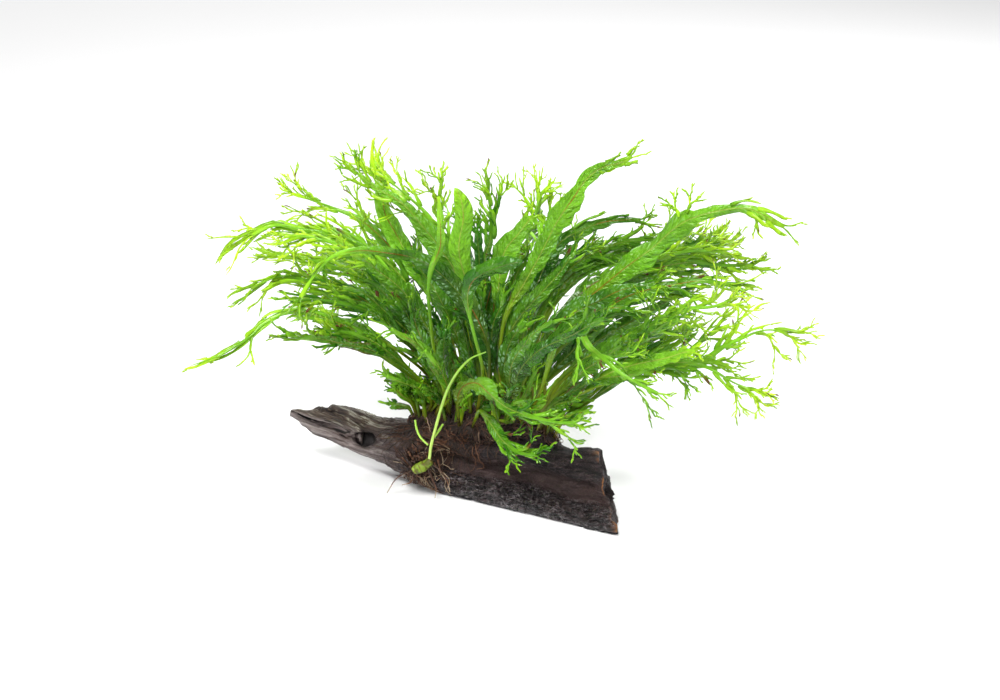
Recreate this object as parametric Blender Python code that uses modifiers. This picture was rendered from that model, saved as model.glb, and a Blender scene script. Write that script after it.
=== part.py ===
"""Java fern with forked, lace-like frond tips, grown fast to a piece of driftwood.

Units are metres, +Z is up.  The world origin is the middle of the flat resting patch under the
driftwood.  Frond routes are written as they show in a front view of the plant: a picture point
(px, py), one unit being 0.45 mm at the middle of the plant, with the depth of the tip added.
"""

import math
import random
from collections import namedtuple

import bmesh
import bpy
import numpy as np
from mathutils import Matrix, Vector
from mathutils.bvhtree import BVHTree

MM = 0.001

# The front view: looking along +Y and 18 degrees down, from 1.2 m.
VIEW_DROP = math.radians(18.0)
VIEW_DISTANCE = 1.2
UNIT = 0.45 * MM
VIEW_MIDDLE = (500.0, 350.0)
ORIGIN_SEEN_AT = (545.0, 508.2)

# Driftwood, as distances along its own length from a point below the front edge.
WOOD_YAW = math.radians(33.0)
WOOD_FRONT = -14.0 * MM
WOOD_LEFT = -141.5 * MM
WOOD_RIGHT = 37.5 * MM
WOOD_REST_FROM = -46.0 * MM
WOOD_STATIONS = 34
WOOD_END_SLANT = 10.5 * MM
WOOD_END_SKEW = 0.62
WOOD_DEPTH = [(-141.5, 10.0), (-122.0, 19.0), (-90.0, 29.0), (-50.0, 38.0), (0.0, 38.0), (37.5, 32.0)]
WOOD_TOP_LINE = [(285, 411), (293, 409), (300, 406), (317, 405), (345, 410), (370, 421), (400, 424),
                 (440, 429), (480, 431), (510, 431), (537, 436), (546, 442), (558, 450), (570, 453),
                 (582, 452), (597, 454), (606, 462), (640, 480)]
WOOD_UNDER_LINE = [(285, 417), (293, 418), (299, 424), (310, 434), (335, 445), (345, 451), (383, 467),
                   (392, 473), (430, 488), (444, 494), (460, 500), (640, 536)]
# Sections as (share of the depth, share of the height), from the front bottom edge up and over.
SECTION_THICK = [(0.10, 0.0), (0.02, 0.07), (0.0, 0.17), (0.05, 0.27), (0.17, 0.35), (0.24, 0.48),
                 (0.22, 0.62), (0.20, 0.76), (0.27, 0.90), (0.42, 1.0), (0.60, 0.97), (0.80, 0.84),
                 (0.95, 0.60), (1.0, 0.34), (0.93, 0.12), (0.82, 0.0), (0.58, 0.0), (0.34, 0.0)]
SECTION_THIN = [(0.16, 0.0), (0.05, 0.12), (0.0, 0.30), (0.05, 0.44), (0.13, 0.50), (0.11, 0.66),
                (0.20, 0.80), (0.33, 0.84), (0.42, 0.96), (0.50, 1.0), (0.62, 0.92), (0.80, 0.86),
                (0.95, 0.66), (1.0, 0.38), (0.90, 0.14), (0.78, 0.0), (0.58, -0.04), (0.34, -0.04)]
KNOT_HOLE_SEEN = (364.0, 441.0)
KNOT_HOLE_DEPTH = 4.5 * MM

# Root mat and rhizome on top of the wood.
MAT_FROM = -84.0 * MM
MAT_TO = -8.0 * MM
MAT_MIDDLE = 19.0 * MM
MAT_HALF_WIDTH = 8.5 * MM
MAT_HEIGHT = 6.0 * MM
MAT_RIM = 0.8 * MM
GAP = 0.35 * MM

# Fronds.  Those rooted in front of FRONT_ROW lean out of the clump early, the others late.
LEAF_THICK = 0.62 * MM
PETIOLE_WIDTH = 1.5 * MM
FOOT_LIFT = 0.95 * MM
FOOT_SPREAD = 0.9
FRONT_ROW = -4.0 * MM
LEAN_EARLY = 0.72
LEAN_LATE = 1.15
SPINE_POINTS = 40
TIP_STARTS = 0.90
PRONG_MOST = 16.0 * MM
PRONG_WIDEST = 1.9 * MM
PRONG_NARROWEST = 0.55 * MM
FORKED_NARROWEST = 1.3 * MM
SPROUT_HALF = 0.9 * MM

# What the fronds of one style share.  widen, full and taper are shares: where the stalk starts to
# widen, where the blade is widest, and the part of its width left before the tip.  stops are the
# cross rows, sprouts the places of side prongs, reach their length and levels the tip's forks.
Style = namedtuple("Style", "colour widen full taper stops sprouts reach levels")
STYLES = {
    "strap": Style((0.115, 0.330, 0.030, 1.0), 0.24, 0.62, 0.34,
                   [0.0, 0.16, 0.30, 0.44, 0.58, 0.70, 0.80, 0.88], [], 0.0, 2),
    "plume": Style((0.155, 0.400, 0.030, 1.0), 0.30, 0.58, 0.36,
                   [0.0, 0.18, 0.34, 0.48], [0.62, 0.74, 0.86], 0.150, 1),
    "lace": Style((0.230, 0.520, 0.040, 1.0), 0.34, 0.55, 0.22,
                  [0.0, 0.18, 0.36, 0.50], [0.60, 0.72, 0.84], 0.185, 2),
    "young": Style((0.190, 0.420, 0.050, 1.0), 0.25, 0.60, 0.45,
                   [0.0, 0.24, 0.44, 0.60, 0.74], [], 0.0, 1),
}

# Each frond: its foot as a share of the mat's length and a side in mm, its blade width in mm, the
# depth of its tip in mm, the turn of its face in degrees, and its route in the front view from
# above the foot to the end of the tip.
Frond = namedtuple("Frond", "style name foot side width tip_depth turn route")
FRONDS = [
    Frond("strap", "tall_left", 0.34, 3.0, 8.6, 62, 8,
     [(458, 345), (430, 290), (400, 243), (385, 216), (384, 190), (377, 163), (378, 137)]),
    Frond("strap", "red_rib_left", 0.46, 1.5, 10.0, 40, -6,
     [(470, 335), (456, 276), (442, 251), (427, 230), (406, 208), (385, 194), (364, 178), (345, 156)]),
    Frond("lace", "far_left_high", 0.28, 5.0, 6.5, 92, 10,
     [(452, 340), (420, 282), (390, 246), (360, 221), (331, 206), (309, 198), (284, 184)]),
    Frond("plume", "arch_left", 0.22, -0.5, 6.0, 28, 0,
     [(445, 352), (408, 296), (372, 258), (338, 239), (300, 230), (275, 224), (247, 239), (217, 262)]),
    Frond("plume", "left_upper", 0.16, 4.5, 6.5, 62, 12,
     [(442, 360), (402, 312), (362, 280), (322, 262), (285, 257), (256, 252)]),
    Frond("plume", "left_middle", 0.14, 0.5, 6.5, 12, -10,
     [(434, 362), (388, 316), (338, 288), (290, 277), (262, 283), (236, 296)]),
    Frond("strap", "dark_arch_left", 0.57, -3.5, 9.5, -32, -14,
     [(489, 352), (474, 313), (455, 288), (435, 270), (410, 257), (380, 250), (351, 253), (325, 262),
      (306, 286), (293, 317)]),
    Frond("lace", "lowest_left", 0.08, -3.0, 6.0, -3, 8,
     [(436, 385), (396, 349), (352, 328), (312, 315), (284, 313), (262, 322), (247, 340),
      (226, 353), (190, 366)]),
    Frond("plume", "low_left", 0.1, -5.0, 8.0, -32, -8,
     [(434, 396), (402, 370), (371, 350), (345, 343), (312, 339), (268, 329)]),
    Frond("strap", "light_left", 0.07, 2.0, 7.5, 40, 14,
     [(434, 402), (412, 376), (392, 352), (370, 336), (346, 322), (318, 312), (296, 313)]),
    Frond("strap", "broad_left", 0.24, -3.0, 9.0, 4, -12,
     [(446, 362), (424, 322), (402, 290), (382, 272), (358, 257), (334, 250)]),
    Frond("plume", "narrow_upright", 0.3, -5.5, 5.0, -26, 10,
     [(444, 392), (434, 350), (429, 305), (431, 271), (439, 245), (441, 215), (436, 190), (426, 177)]),
    Frond("strap", "light_upright", 0.58, 0.5, 8.6, 2, 4,
     [(488, 378), (481, 341), (472, 302), (464, 272), (460, 243), (462, 215), (462, 196), (450, 189)]),
    Frond("plume", "middle_back", 0.6, 4.0, 7.0, 52, -10,
     [(492, 350), (487, 298), (485, 258), (490, 235), (492, 212), (488, 192), (480, 178)]),
    Frond("strap", "dark_hooked", 0.52, -6.0, 5.6, -36, 6,
     [(482, 366), (468, 312), (471, 287), (486, 272), (503, 265), (523, 261)]),
    Frond("strap", "bright_short", 0.66, 1.5, 7.6, 22, -8,
     [(500, 352), (497, 300), (504, 258), (516, 237), (527, 222), (538, 212)]),
    Frond("lace", "fan_middle", 0.74, 4.5, 4.5, 66, 0,
     [(520, 330), (533, 280), (541, 240), (537, 213), (541, 192), (549, 178)]),
    Frond("strap", "tall_right", 0.7, -1.5, 11.0, 4, 6,
     [(500, 372), (504, 322), (522, 287), (542, 251), (556, 226), (570, 201), (584, 181), (603, 168),
      (622, 162), (647, 146)]),
    Frond("strap", "long_arch_right", 0.88, -2.5, 10.4, -26, -6,
     [(532, 360), (560, 319), (592, 295), (622, 271), (650, 249), (673, 230), (700, 216), (727, 208),
      (750, 209), (775, 223), (806, 235)]),
    Frond("strap", "dark_arch_right", 0.8, 2.0, 7.4, 34, 10,
     [(520, 340), (538, 280), (558, 246), (580, 231), (602, 221), (626, 220), (660, 222)]),
    Frond("plume", "right_upper", 0.86, 4.0, 7.5, 62, -8,
     [(535, 345), (560, 290), (590, 262), (620, 251), (655, 249), (694, 244), (730, 233)]),
    Frond("plume", "right_middle", 0.9, 1.0, 7.0, 24, 8,
     [(545, 352), (598, 298), (645, 270), (685, 264), (722, 264), (770, 266)]),
    Frond("plume", "right_middle_low", 0.94, -1.0, 6.6, -8, -8,
     [(550, 362), (606, 310), (655, 287), (700, 283), (738, 286), (770, 291)]),
    Frond("plume", "right_far", 0.82, 6.0, 6.5, 86, 6,
     [(548, 348), (596, 300), (640, 277), (682, 261), (716, 247), (744, 238)]),
    Frond("lace", "right_curl", 0.96, -4.5, 7.0, -48, 12,
     [(556, 388), (592, 356), (625, 340), (658, 325), (688, 309), (716, 305), (750, 297)]),
    Frond("lace", "right_spray", 0.97, 1.5, 4.6, -16, -6,
     [(562, 396), (612, 378), (660, 368), (700, 363), (733, 341), (768, 330), (812, 343)]),
    Frond("lace", "right_spray_low", 0.945, -3.5, 4.4, -26, 4,
     [(560, 404), (612, 380), (662, 364), (703, 367), (736, 382), (770, 402)]),
    Frond("strap", "right_light", 0.92, -6.0, 7.2, -64, -14,
     [(548, 408), (580, 388), (612, 372), (642, 364), (668, 356), (706, 350)]),
    Frond("plume", "front_curl", 0.84, -6.5, 5.6, -78, 18,
     [(540, 392), (556, 345), (577, 329), (590, 349), (612, 366), (638, 383), (672, 402)]),
    Frond("plume", "front_dark", 0.72, -7.0, 8.0, -72, -12,
     [(512, 400), (520, 370), (538, 352), (560, 341), (584, 327), (616, 314)]),
    Frond("plume", "front_wavy", 0.4, -8.0, 8.6, -50, 10,
     [(458, 412), (458, 396), (464, 386), (477, 383), (490, 393), (510, 409), (540, 420), (590, 423)]),
    Frond("plume", "front_drop", 0.5, -7.8, 5.8, -30, 4,
     [(476, 417), (480, 411), (488, 420), (500, 439), (518, 451), (542, 455)]),
    Frond("young", "front_sprig", 0.82, -7.0, 3.2, -20, 0,
     [(518, 412), (524, 396), (531, 380), (542, 362)]),
    Frond("young", "front_leaf", 0.62, -5.0, 4.0, -18, 20,
     [(505, 420), (511, 408), (520, 402), (533, 405)]),
    Frond("plume", "right_low_stalk", 0.96, 3.5, 6.0, 36, 6,
     [(566, 418), (584, 402), (606, 381), (634, 352), (664, 334), (694, 322)]),
    Frond("plume", "left_inner", 0.12, -1.5, 6.5, -2, 16,
     [(440, 385), (416, 352), (390, 326), (360, 308), (328, 300), (280, 302)]),
    Frond("plume", "left_back", 0.24, 5.0, 7.0, 92, -14,
     [(445, 372), (420, 332), (394, 298), (368, 274), (342, 264), (306, 264)]),
    Frond("young", "left_front_low", 0.2, -7.0, 5.0, -44, 6,
     [(446, 395), (432, 362), (414, 342), (394, 330), (370, 325)]),
    Frond("young", "left_foot", 0.06, -2.0, 5.0, 22, -6,
     [(418, 412), (409, 398), (397, 386), (378, 366)]),
    Frond("strap", "middle_dark", 0.54, 2.5, 8.0, 30, 16,
     [(480, 380), (475, 340), (474, 302), (478, 268), (478, 238), (474, 214)]),
    Frond("strap", "right_dark_back", 0.73, 6.5, 9.0, 106, 10,
     [(505, 372), (518, 330), (534, 296), (556, 270), (578, 252), (604, 238)]),
    Frond("strap", "right_dark_front", 0.78, -4.5, 9.0, -34, -10,
     [(520, 390), (537, 352), (562, 322), (592, 303), (624, 291), (672, 280)]),
    Frond("strap", "right_inner", 0.91, -4.0, 8.0, 12, 12,
     [(535, 396), (560, 370), (592, 345), (624, 326), (656, 306), (700, 288)]),
    Frond("plume", "right_front", 0.94, -7.0, 6.8, -60, 8,
     [(548, 404), (575, 376), (606, 353), (636, 339), (662, 326), (694, 316)]),
    Frond("strap", "back_left", 0.38, 7.0, 8.5, 132, 0,
     [(466, 350), (444, 300), (420, 266), (400, 248), (376, 240)]),
    Frond("strap", "back_middle", 0.5, 7.5, 8.5, 124, 0,
     [(482, 350), (476, 300), (470, 256), (462, 228), (456, 210)]),
    Frond("strap", "back_right", 0.68, 7.5, 8.5, 120, 0,
     [(506, 350), (512, 300), (520, 260), (530, 236), (546, 222)]),
    Frond("plume", "back_far_right", 0.86, 7.5, 7.0, 130, 0,
     [(535, 352), (566, 308), (598, 282), (632, 268), (668, 262)]),
    Frond("plume", "back_far_left", 0.09, 7.0, 7.0, 114, 0,
     [(446, 366), (420, 330), (390, 306), (356, 292), (322, 290)]),
]

# Runner: a pale stalk reaching down over the wood to a ringed stump of rhizome with roots.
RUNNER_ROUTE = [(486, 352, -16), (470, 359, -14), (457, 373, -9), (447, 391, -3), (440, 412, 2),
                (434, 434, 7), (431, 446, 9.4), (430.5, 452.5, 10.3)]
RUNNER_RADIUS = 1.05 * MM
STUMP_ROUTE = [(431, 460, 11.5), (426, 464, 11.5), (420, 468, 11.5), (413, 471, 12)]
STUMP_RADIUS = 2.9 * MM
STUMP_RINGS = 4
ROOT_RADIUS = 0.42 * MM
HANGING_ROOTS = [
    [(421, 468, 12), (408, 472, 14), (396, 479, 16), (387, 493, 17)],
    [(424, 467, 12), (414, 474, 12), (411, 482, 12), (402, 485, 13)],
    [(427, 465, 12), (431, 476, 12), (436, 488, 11), (435, 498, 10)],
    [(429, 463, 12), (440, 470, 9), (447, 481, 8), (450, 492, 7)],
]


def view_axes():
    """Right, up and forward of the front view."""
    forward = Vector((0.0, math.cos(VIEW_DROP), -math.sin(VIEW_DROP)))
    up = Vector((0.0, math.sin(VIEW_DROP), math.cos(VIEW_DROP)))
    return Vector((1.0, 0.0, 0.0)), up, forward


def view_eye():
    """Where the front view is taken from."""
    right, up, forward = view_axes()
    across = (VIEW_MIDDLE[0] - ORIGIN_SEEN_AT[0]) * UNIT
    upward = (ORIGIN_SEEN_AT[1] - VIEW_MIDDLE[1]) * UNIT
    return right * across + up * upward - forward * VIEW_DISTANCE


def seen(px, py, y):
    """World point at depth y that the front view shows at (px, py)."""
    right, up, forward = view_axes()
    eye = view_eye()
    scale = UNIT / VIEW_DISTANCE
    ray = forward + right * ((px - VIEW_MIDDLE[0]) * scale) + up * ((VIEW_MIDDLE[1] - py) * scale)
    return eye + ray * ((y - eye.y) / ray.y)


def shown_at(point):
    """Where the front view shows a world point."""
    right, up, forward = view_axes()
    offset = Vector(point) - view_eye()
    scale = VIEW_DISTANCE / UNIT / offset.dot(forward)
    return VIEW_MIDDLE[0] + offset.dot(right) * scale, VIEW_MIDDLE[1] - offset.dot(up) * scale


def height_on_line(x, y, line):
    """Height of the point above (x, y) that the front view shows on the given line."""
    z = 0.0
    across = [p[0] for p in line]
    down = [p[1] for p in line]
    for _ in range(6):
        px, py = shown_at((x, y, z))
        z += (py - np.interp(px, across, down)) * UNIT / math.cos(VIEW_DROP)
    return z


def smooth(share):
    """Ease from 0 to 1."""
    t = min(1.0, max(0.0, share))
    return t * t * (3.0 - 2.0 * t)


def wood_axes():
    """Unit vectors along the driftwood and level across it, towards the back."""
    along = Vector((math.cos(WOOD_YAW), -math.sin(WOOD_YAW), 0.0))
    across = Vector((math.sin(WOOD_YAW), math.cos(WOOD_YAW), 0.0))
    return along, across


def wood_plan(a, d):
    """World point on the table at length a and depth d of the driftwood."""
    along, across = wood_axes()
    return Vector((0.0, WOOD_FRONT, 0.0)) + along * a + across * d


def wood_section(a):
    """The ring of points of the driftwood at length a."""
    along, across = wood_axes()
    depth = np.interp(a / MM, [p[0] for p in WOOD_DEPTH], [p[1] for p in WOOD_DEPTH]) * MM
    foot = wood_plan(a, 0.0)
    under = 0.0
    if a < WOOD_REST_FROM:
        under = max(0.0, height_on_line(foot.x, foot.y, WOOD_UNDER_LINE))
    end = smooth((a + 0.034) / 0.0715)
    slant = -WOOD_END_SLANT * end
    skew = -WOOD_END_SKEW * end
    ridge = foot + across * (0.44 * depth) + along * (slant + skew * 0.44 * depth)
    top = height_on_line(ridge.x, ridge.y, WOOD_TOP_LINE)
    rise = max(top - under, 5.0 * MM)
    thick = smooth((a + 0.105) / 0.06)
    tip = 1.0 - smooth((a - WOOD_LEFT) / 0.030)
    ring = []
    for i, (thick_pair, thin_pair) in enumerate(zip(SECTION_THICK, SECTION_THIN)):
        share_d = thin_pair[0] + (thick_pair[0] - thin_pair[0]) * thick
        share_z = thin_pair[1] + (thick_pair[1] - thin_pair[1]) * thick
        wave = 0.7 * math.sin(a * 95.0 + i * 2.1) + 0.5 * math.sin(a * 230.0 + i * 4.4)
        worn = wave * MM * min(1.0, 4.0 * share_z) * (1.0 - 0.6 * tip)
        point = foot + across * (share_d * depth + worn)
        point += along * (slant * share_z + skew * share_d * depth)
        point += along * (tip * 10.0 * MM * smooth(share_d * 2.2 - 0.4))
        point.z = under + share_z * rise + 0.3 * worn
        if share_z <= 0.0 and a >= WOOD_REST_FROM:
            point.z = 0.0
        px, py = shown_at(point)
        far = math.hypot((px - KNOT_HOLE_SEEN[0]) / 15.0, (py - KNOT_HOLE_SEEN[1]) / 10.0)
        if share_d < 0.4 and 0.1 < share_z < 0.9:
            point += across * (KNOT_HOLE_DEPTH * math.exp(-far * far))
        ring.append(point)
    return ring


def new_object(name, points, faces, colour, roughness, home):
    """Link a named mesh object with its own material."""
    mesh = bpy.data.meshes.new(name)
    mesh.from_pydata([tuple(p) for p in points], [], faces)
    mesh.validate()
    material = bpy.data.materials.new(name)
    material.use_nodes = True
    shader = material.node_tree.nodes["Principled BSDF"]
    shader.inputs["Base Color"].default_value = colour
    shader.inputs["Roughness"].default_value = roughness
    mesh.materials.append(material)
    obj = bpy.data.objects.new(name, mesh)
    home.objects.link(obj)
    return obj


def face_outward(obj):
    """Turn all faces of a closed mesh outward."""
    bm = bmesh.new()
    bm.from_mesh(obj.data)
    bmesh.ops.recalc_face_normals(bm, faces=bm.faces)
    bm.to_mesh(obj.data)
    bm.free()


def tree_of(obj):
    """Search tree over the finished faces of an object."""
    return BVHTree.FromObject(obj, bpy.context.evaluated_depsgraph_get())


def build_driftwood(home):
    """Driftwood: unlike sections joined along the length, flat where it rests."""
    points = []
    for i in range(WOOD_STATIONS):
        a = WOOD_LEFT + (WOOD_RIGHT - WOOD_LEFT) * i / (WOOD_STATIONS - 1)
        points.extend(wood_section(a))
    count = len(SECTION_THICK)
    faces = []
    for i in range(WOOD_STATIONS - 1):
        for j in range(count):
            k = (j + 1) % count
            faces.append((i * count + j, i * count + k, (i + 1) * count + k, (i + 1) * count + j))
    last = (WOOD_STATIONS - 1) * count
    faces.append(tuple(range(count)))
    faces.append(tuple(last + j for j in reversed(range(count))))
    obj = new_object("driftwood", points, faces, (0.030, 0.022, 0.020, 1.0), 0.55, home)
    face_outward(obj)
    return obj


def drop_on(tree, x, y):
    """Height at which a plumb line through (x, y) meets the surface, or None."""
    hit = tree.ray_cast(Vector((x, y, 0.3)), Vector((0.0, 0.0, -1.0)))
    return None if hit[0] is None else hit[0].z


def highest_near(tree, x, y, reach):
    """Highest point of the surface at and around (x, y)."""
    places = [(0.0, 0.0), (reach, 0.0), (-reach, 0.0), (0.0, reach), (0.0, -reach)]
    heights = [drop_on(tree, x + dx, y + dy) for dx, dy in places]
    return max(h for h in heights if h is not None)


def mat_plan(share, side):
    """World point on the table below a place of the mat: share of its length, side in metres."""
    a = MAT_FROM + (MAT_TO - MAT_FROM) * share
    return wood_plan(a, MAT_MIDDLE + side + 1.5 * MM * math.sin(share * 9.0))


def mat_width(share):
    """Half the width of the mat at a share of its length."""
    return MAT_HALF_WIDTH * math.sqrt(max(0.05, 1.0 - (2.0 * share - 1.0) ** 4))


def build_root_mat(home, wood_tree):
    """Rhizome and matted roots: a low lumpy cushion that follows the wood below it."""
    long_count, wide_count = 15, 6
    upper, lower = [], []
    for i in range(long_count):
        share = i / (long_count - 1)
        width = mat_width(share)
        for j in range(wide_count):
            v = 2.0 * j / (wide_count - 1) - 1.0
            plan = mat_plan(share, v * width)
            floor = highest_near(wood_tree, plan.x, plan.y, 1.5 * MM)
            swell = (1.0 - v * v) * (1.0 - (2.0 * share - 1.0) ** 6)
            lump = 1.0 + 0.16 * math.sin(i * 1.9 + j * 2.7) + 0.10 * math.sin(i * 0.9 - j * 1.3)
            bottom = floor + 1.3 * GAP
            lower.append(Vector((plan.x, plan.y, bottom)))
            upper.append(Vector((plan.x, plan.y, bottom + MAT_RIM + MAT_HEIGHT * swell * lump)))
    points = upper + lower
    half = len(upper)
    faces = []
    for i in range(long_count - 1):
        for j in range(wide_count - 1):
            quad = (i * wide_count + j, i * wide_count + j + 1, (i + 1) * wide_count + j + 1,
                    (i + 1) * wide_count + j)
            faces.append(quad)
            faces.append(tuple(half + k for k in reversed(quad)))
    rim = list(range(wide_count))
    rim += [(i + 1) * wide_count - 1 for i in range(1, long_count)]
    rim += [(long_count - 1) * wide_count + j for j in reversed(range(wide_count - 1))]
    rim += [i * wide_count for i in reversed(range(1, long_count - 1))]
    for k, first in enumerate(rim):
        second = rim[(k + 1) % len(rim)]
        faces.append((first, half + first, half + second, second))
    obj = new_object("root_mat", points, faces, (0.055, 0.030, 0.014, 1.0), 0.8, home)
    face_outward(obj)
    return obj


def even_path(points, count):
    """Points at even steps on a smooth curve through the given ones."""
    pts = [Vector(p) for p in points]
    pts = [pts[0] * 2.0 - pts[1]] + pts + [pts[-1] * 2.0 - pts[-2]]
    dense = []
    for i in range(1, len(pts) - 2):
        p0, p1, p2, p3 = pts[i - 1], pts[i], pts[i + 1], pts[i + 2]
        for k in range(12):
            t = k / 12.0
            dense.append(0.5 * ((2.0 * p1) + (p2 - p0) * t + (2.0 * p0 - 5.0 * p1 + 4.0 * p2 - p3) * t * t
                                + (3.0 * p1 - p0 - 3.0 * p2 + p3) * t ** 3))
    dense.append(pts[-2])
    walked = [0.0]
    for first, second in zip(dense[:-1], dense[1:]):
        walked.append(walked[-1] + (second - first).length)
    path = []
    for i in range(count):
        goal = walked[-1] * i / (count - 1)
        path.append(Vector([np.interp(goal, walked, [p[axis] for p in dense]) for axis in range(3)]))
    return path, walked[-1]


def frond_route(frond, mat_tree):
    """Spine of a frond from its foot on the mat to the end of its tip, in world space."""
    side = frond.side * MM * FOOT_SPREAD * mat_width(frond.foot) / MAT_HALF_WIDTH
    plan = mat_plan(frond.foot, side)
    foot = Vector((plan.x, plan.y, drop_on(mat_tree, plan.x, plan.y) + FOOT_LIFT))
    flat = [shown_at(foot)] + frond.route
    steps = [math.dist(p, q) for p, q in zip(flat[:-1], flat[1:])]
    total = sum(steps)
    reach = frond.tip_depth * MM - foot.y
    ease = LEAN_EARLY if side < FRONT_ROW else LEAN_LATE
    ahead = seen(*frond.route[0], foot.y + reach * 0.2)
    points = [foot, foot.lerp(ahead, 0.16) + Vector((0.0, 0.0, 0.10 * (ahead - foot).length))]
    gone = 0.0
    for step, (px, py) in zip(steps, frond.route):
        gone += step
        points.append(seen(px, py, foot.y + reach * (gone / total) ** ease))
    return points


def blade_width(share, width, style):
    """Width of the flat part at a share of the frond's length."""
    if share < style.full:
        widening = smooth((share - style.widen) / (style.full - style.widen))
        return PETIOLE_WIDTH + (width - PETIOLE_WIDTH) * widening
    return width * (1.0 - (1.0 - style.taper) * smooth((share - style.full) / (TIP_STARTS - style.full)))


class Sheet:
    """A flat frond in (length, side, lift), before it is bent to its place."""

    def __init__(self):
        self.points = []
        self.faces = []

    def add(self, s, t, lift=0.0):
        self.points.append((s, t, lift))
        return len(self.points) - 1

    def fork(self, low, high, heading, length, levels, lift, rng):
        """Grow a prong from the edge low-high, then split it."""
        x0 = 0.5 * (self.points[low][0] + self.points[high][0])
        y0 = 0.5 * (self.points[low][1] + self.points[high][1])
        z0 = 0.5 * (self.points[low][2] + self.points[high][2])
        base = math.dist(self.points[low][:2], self.points[high][:2])
        width = max(PRONG_NARROWEST, min(base * 0.62, PRONG_WIDEST))
        if levels > 0:
            width = max(width, FORKED_NARROWEST)
        x1 = x0 + math.cos(heading) * length
        y1 = y0 + math.sin(heading) * length
        z1 = z0 + lift * length
        side = (-math.sin(heading) * width / 2.0, math.cos(heading) * width / 2.0)
        near = self.add(x1 - side[0], y1 - side[1], z1)
        far = self.add(x1 + side[0], y1 + side[1], z1)
        if levels == 0:
            self.faces.append((low, near, far, high))
            return
        notch = self.add(x1, y1, z1)
        self.faces.append((low, near, notch, far, high))
        for first, second, turn in ((near, notch, -1.0), (notch, far, 1.0)):
            spread = math.radians(rng.uniform(16.0, 34.0)) * turn
            self.fork(first, second, heading + spread, length * rng.uniform(0.62, 0.9), levels - 1,
                      lift + rng.uniform(-0.35, 0.35), rng)


def flat_frond(length, width, style, rng):
    """The unbent frond: stalk, blade with side prongs, and a forked tip."""
    sheet = Sheet()
    rows = [(share, 0) for share in style.stops]
    way = rng.choice((-1, 1))
    for share in style.sprouts:
        rows.append((share - SPROUT_HALF / length, way))
        rows.append((share + SPROUT_HALF / length, 0))
        way = -way
    pairs = []
    for share, _ in rows:
        half = 0.5 * blade_width(share, width, style)
        pairs.append((sheet.add(share * length, -half), sheet.add(share * length, half)))
    for i in range(len(pairs) - 1):
        (a, b), (c, d) = pairs[i], pairs[i + 1]
        sheet.faces.append((a, c, d, b))
    for i, (share, way) in enumerate(rows):
        if way == 0:
            continue
        long = min(style.reach * length * rng.uniform(0.75, 1.1), PRONG_MOST) * 0.6
        heading = math.radians(rng.uniform(38.0, 54.0)) * way
        lift = rng.uniform(-0.45, 0.45)
        if way > 0:
            sheet.fork(pairs[i + 1][1], pairs[i][1], heading, long, 1, lift, rng)
        else:
            sheet.fork(pairs[i][0], pairs[i + 1][0], heading, long, 1, lift, rng)
    rest = (1.0 - rows[-1][0]) * length
    first = 0.42 if style.levels == 2 else 0.56
    sheet.fork(pairs[-1][0], pairs[-1][1], 0.0, rest * first, style.levels, 0.0, rng)
    return sheet


def bend_frond(sheet, path, length, turn):
    """Carry the flat frond along its spine, facing the front view and turned a little."""
    forward = view_axes()[2]
    count = len(path)
    tangents, sides = [], []
    for i in range(count):
        tangent = (path[min(i + 1, count - 1)] - path[max(i - 1, 0)]).normalized()
        side = tangent.cross(forward)
        tangents.append(tangent)
        sides.append(side.normalized())
    twist = math.radians(turn)
    points = []
    for s, t, lift in sheet.points:
        place = min(max(s / length, 0.0), 1.0) * (count - 1)
        i = min(int(place), count - 2)
        f = place - i
        middle = path[i].lerp(path[i + 1], f)
        tangent = tangents[i].lerp(tangents[i + 1], f).normalized()
        side = sides[i].lerp(sides[i + 1], f).normalized()
        if s > length:
            middle = middle + tangent * (s - length)
        share = s / length
        angle = twist * (0.4 + 0.9 * share) + 0.16 * math.sin(9.0 * share + turn)
        side = Matrix.Rotation(angle, 3, tangent) @ side
        normal = tangent.cross(side)
        points.append(middle + side * t + normal * lift)
    return points


def solid_frond(name, points, faces, style, home):
    """A closed frond of even thickness."""
    obj = new_object(name, points, faces, style.colour, 0.35, home)
    thick = obj.modifiers.new("Thickness", "SOLIDIFY")
    thick.thickness = LEAF_THICK
    thick.offset = 0.0


def build_fronds(home, mat_tree):
    """All fronds, each on its own route so that it is clear of its neighbours."""
    for number, frond in enumerate(FRONDS):
        style = STYLES[frond.style]
        path, length = even_path(frond_route(frond, mat_tree), SPINE_POINTS)
        sheet = flat_frond(length, frond.width * MM, style, random.Random(100 + number))
        points = bend_frond(sheet, path, length, frond.turn)
        solid_frond(frond.style + "_" + frond.name, points, sheet.faces, style, home)


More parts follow.
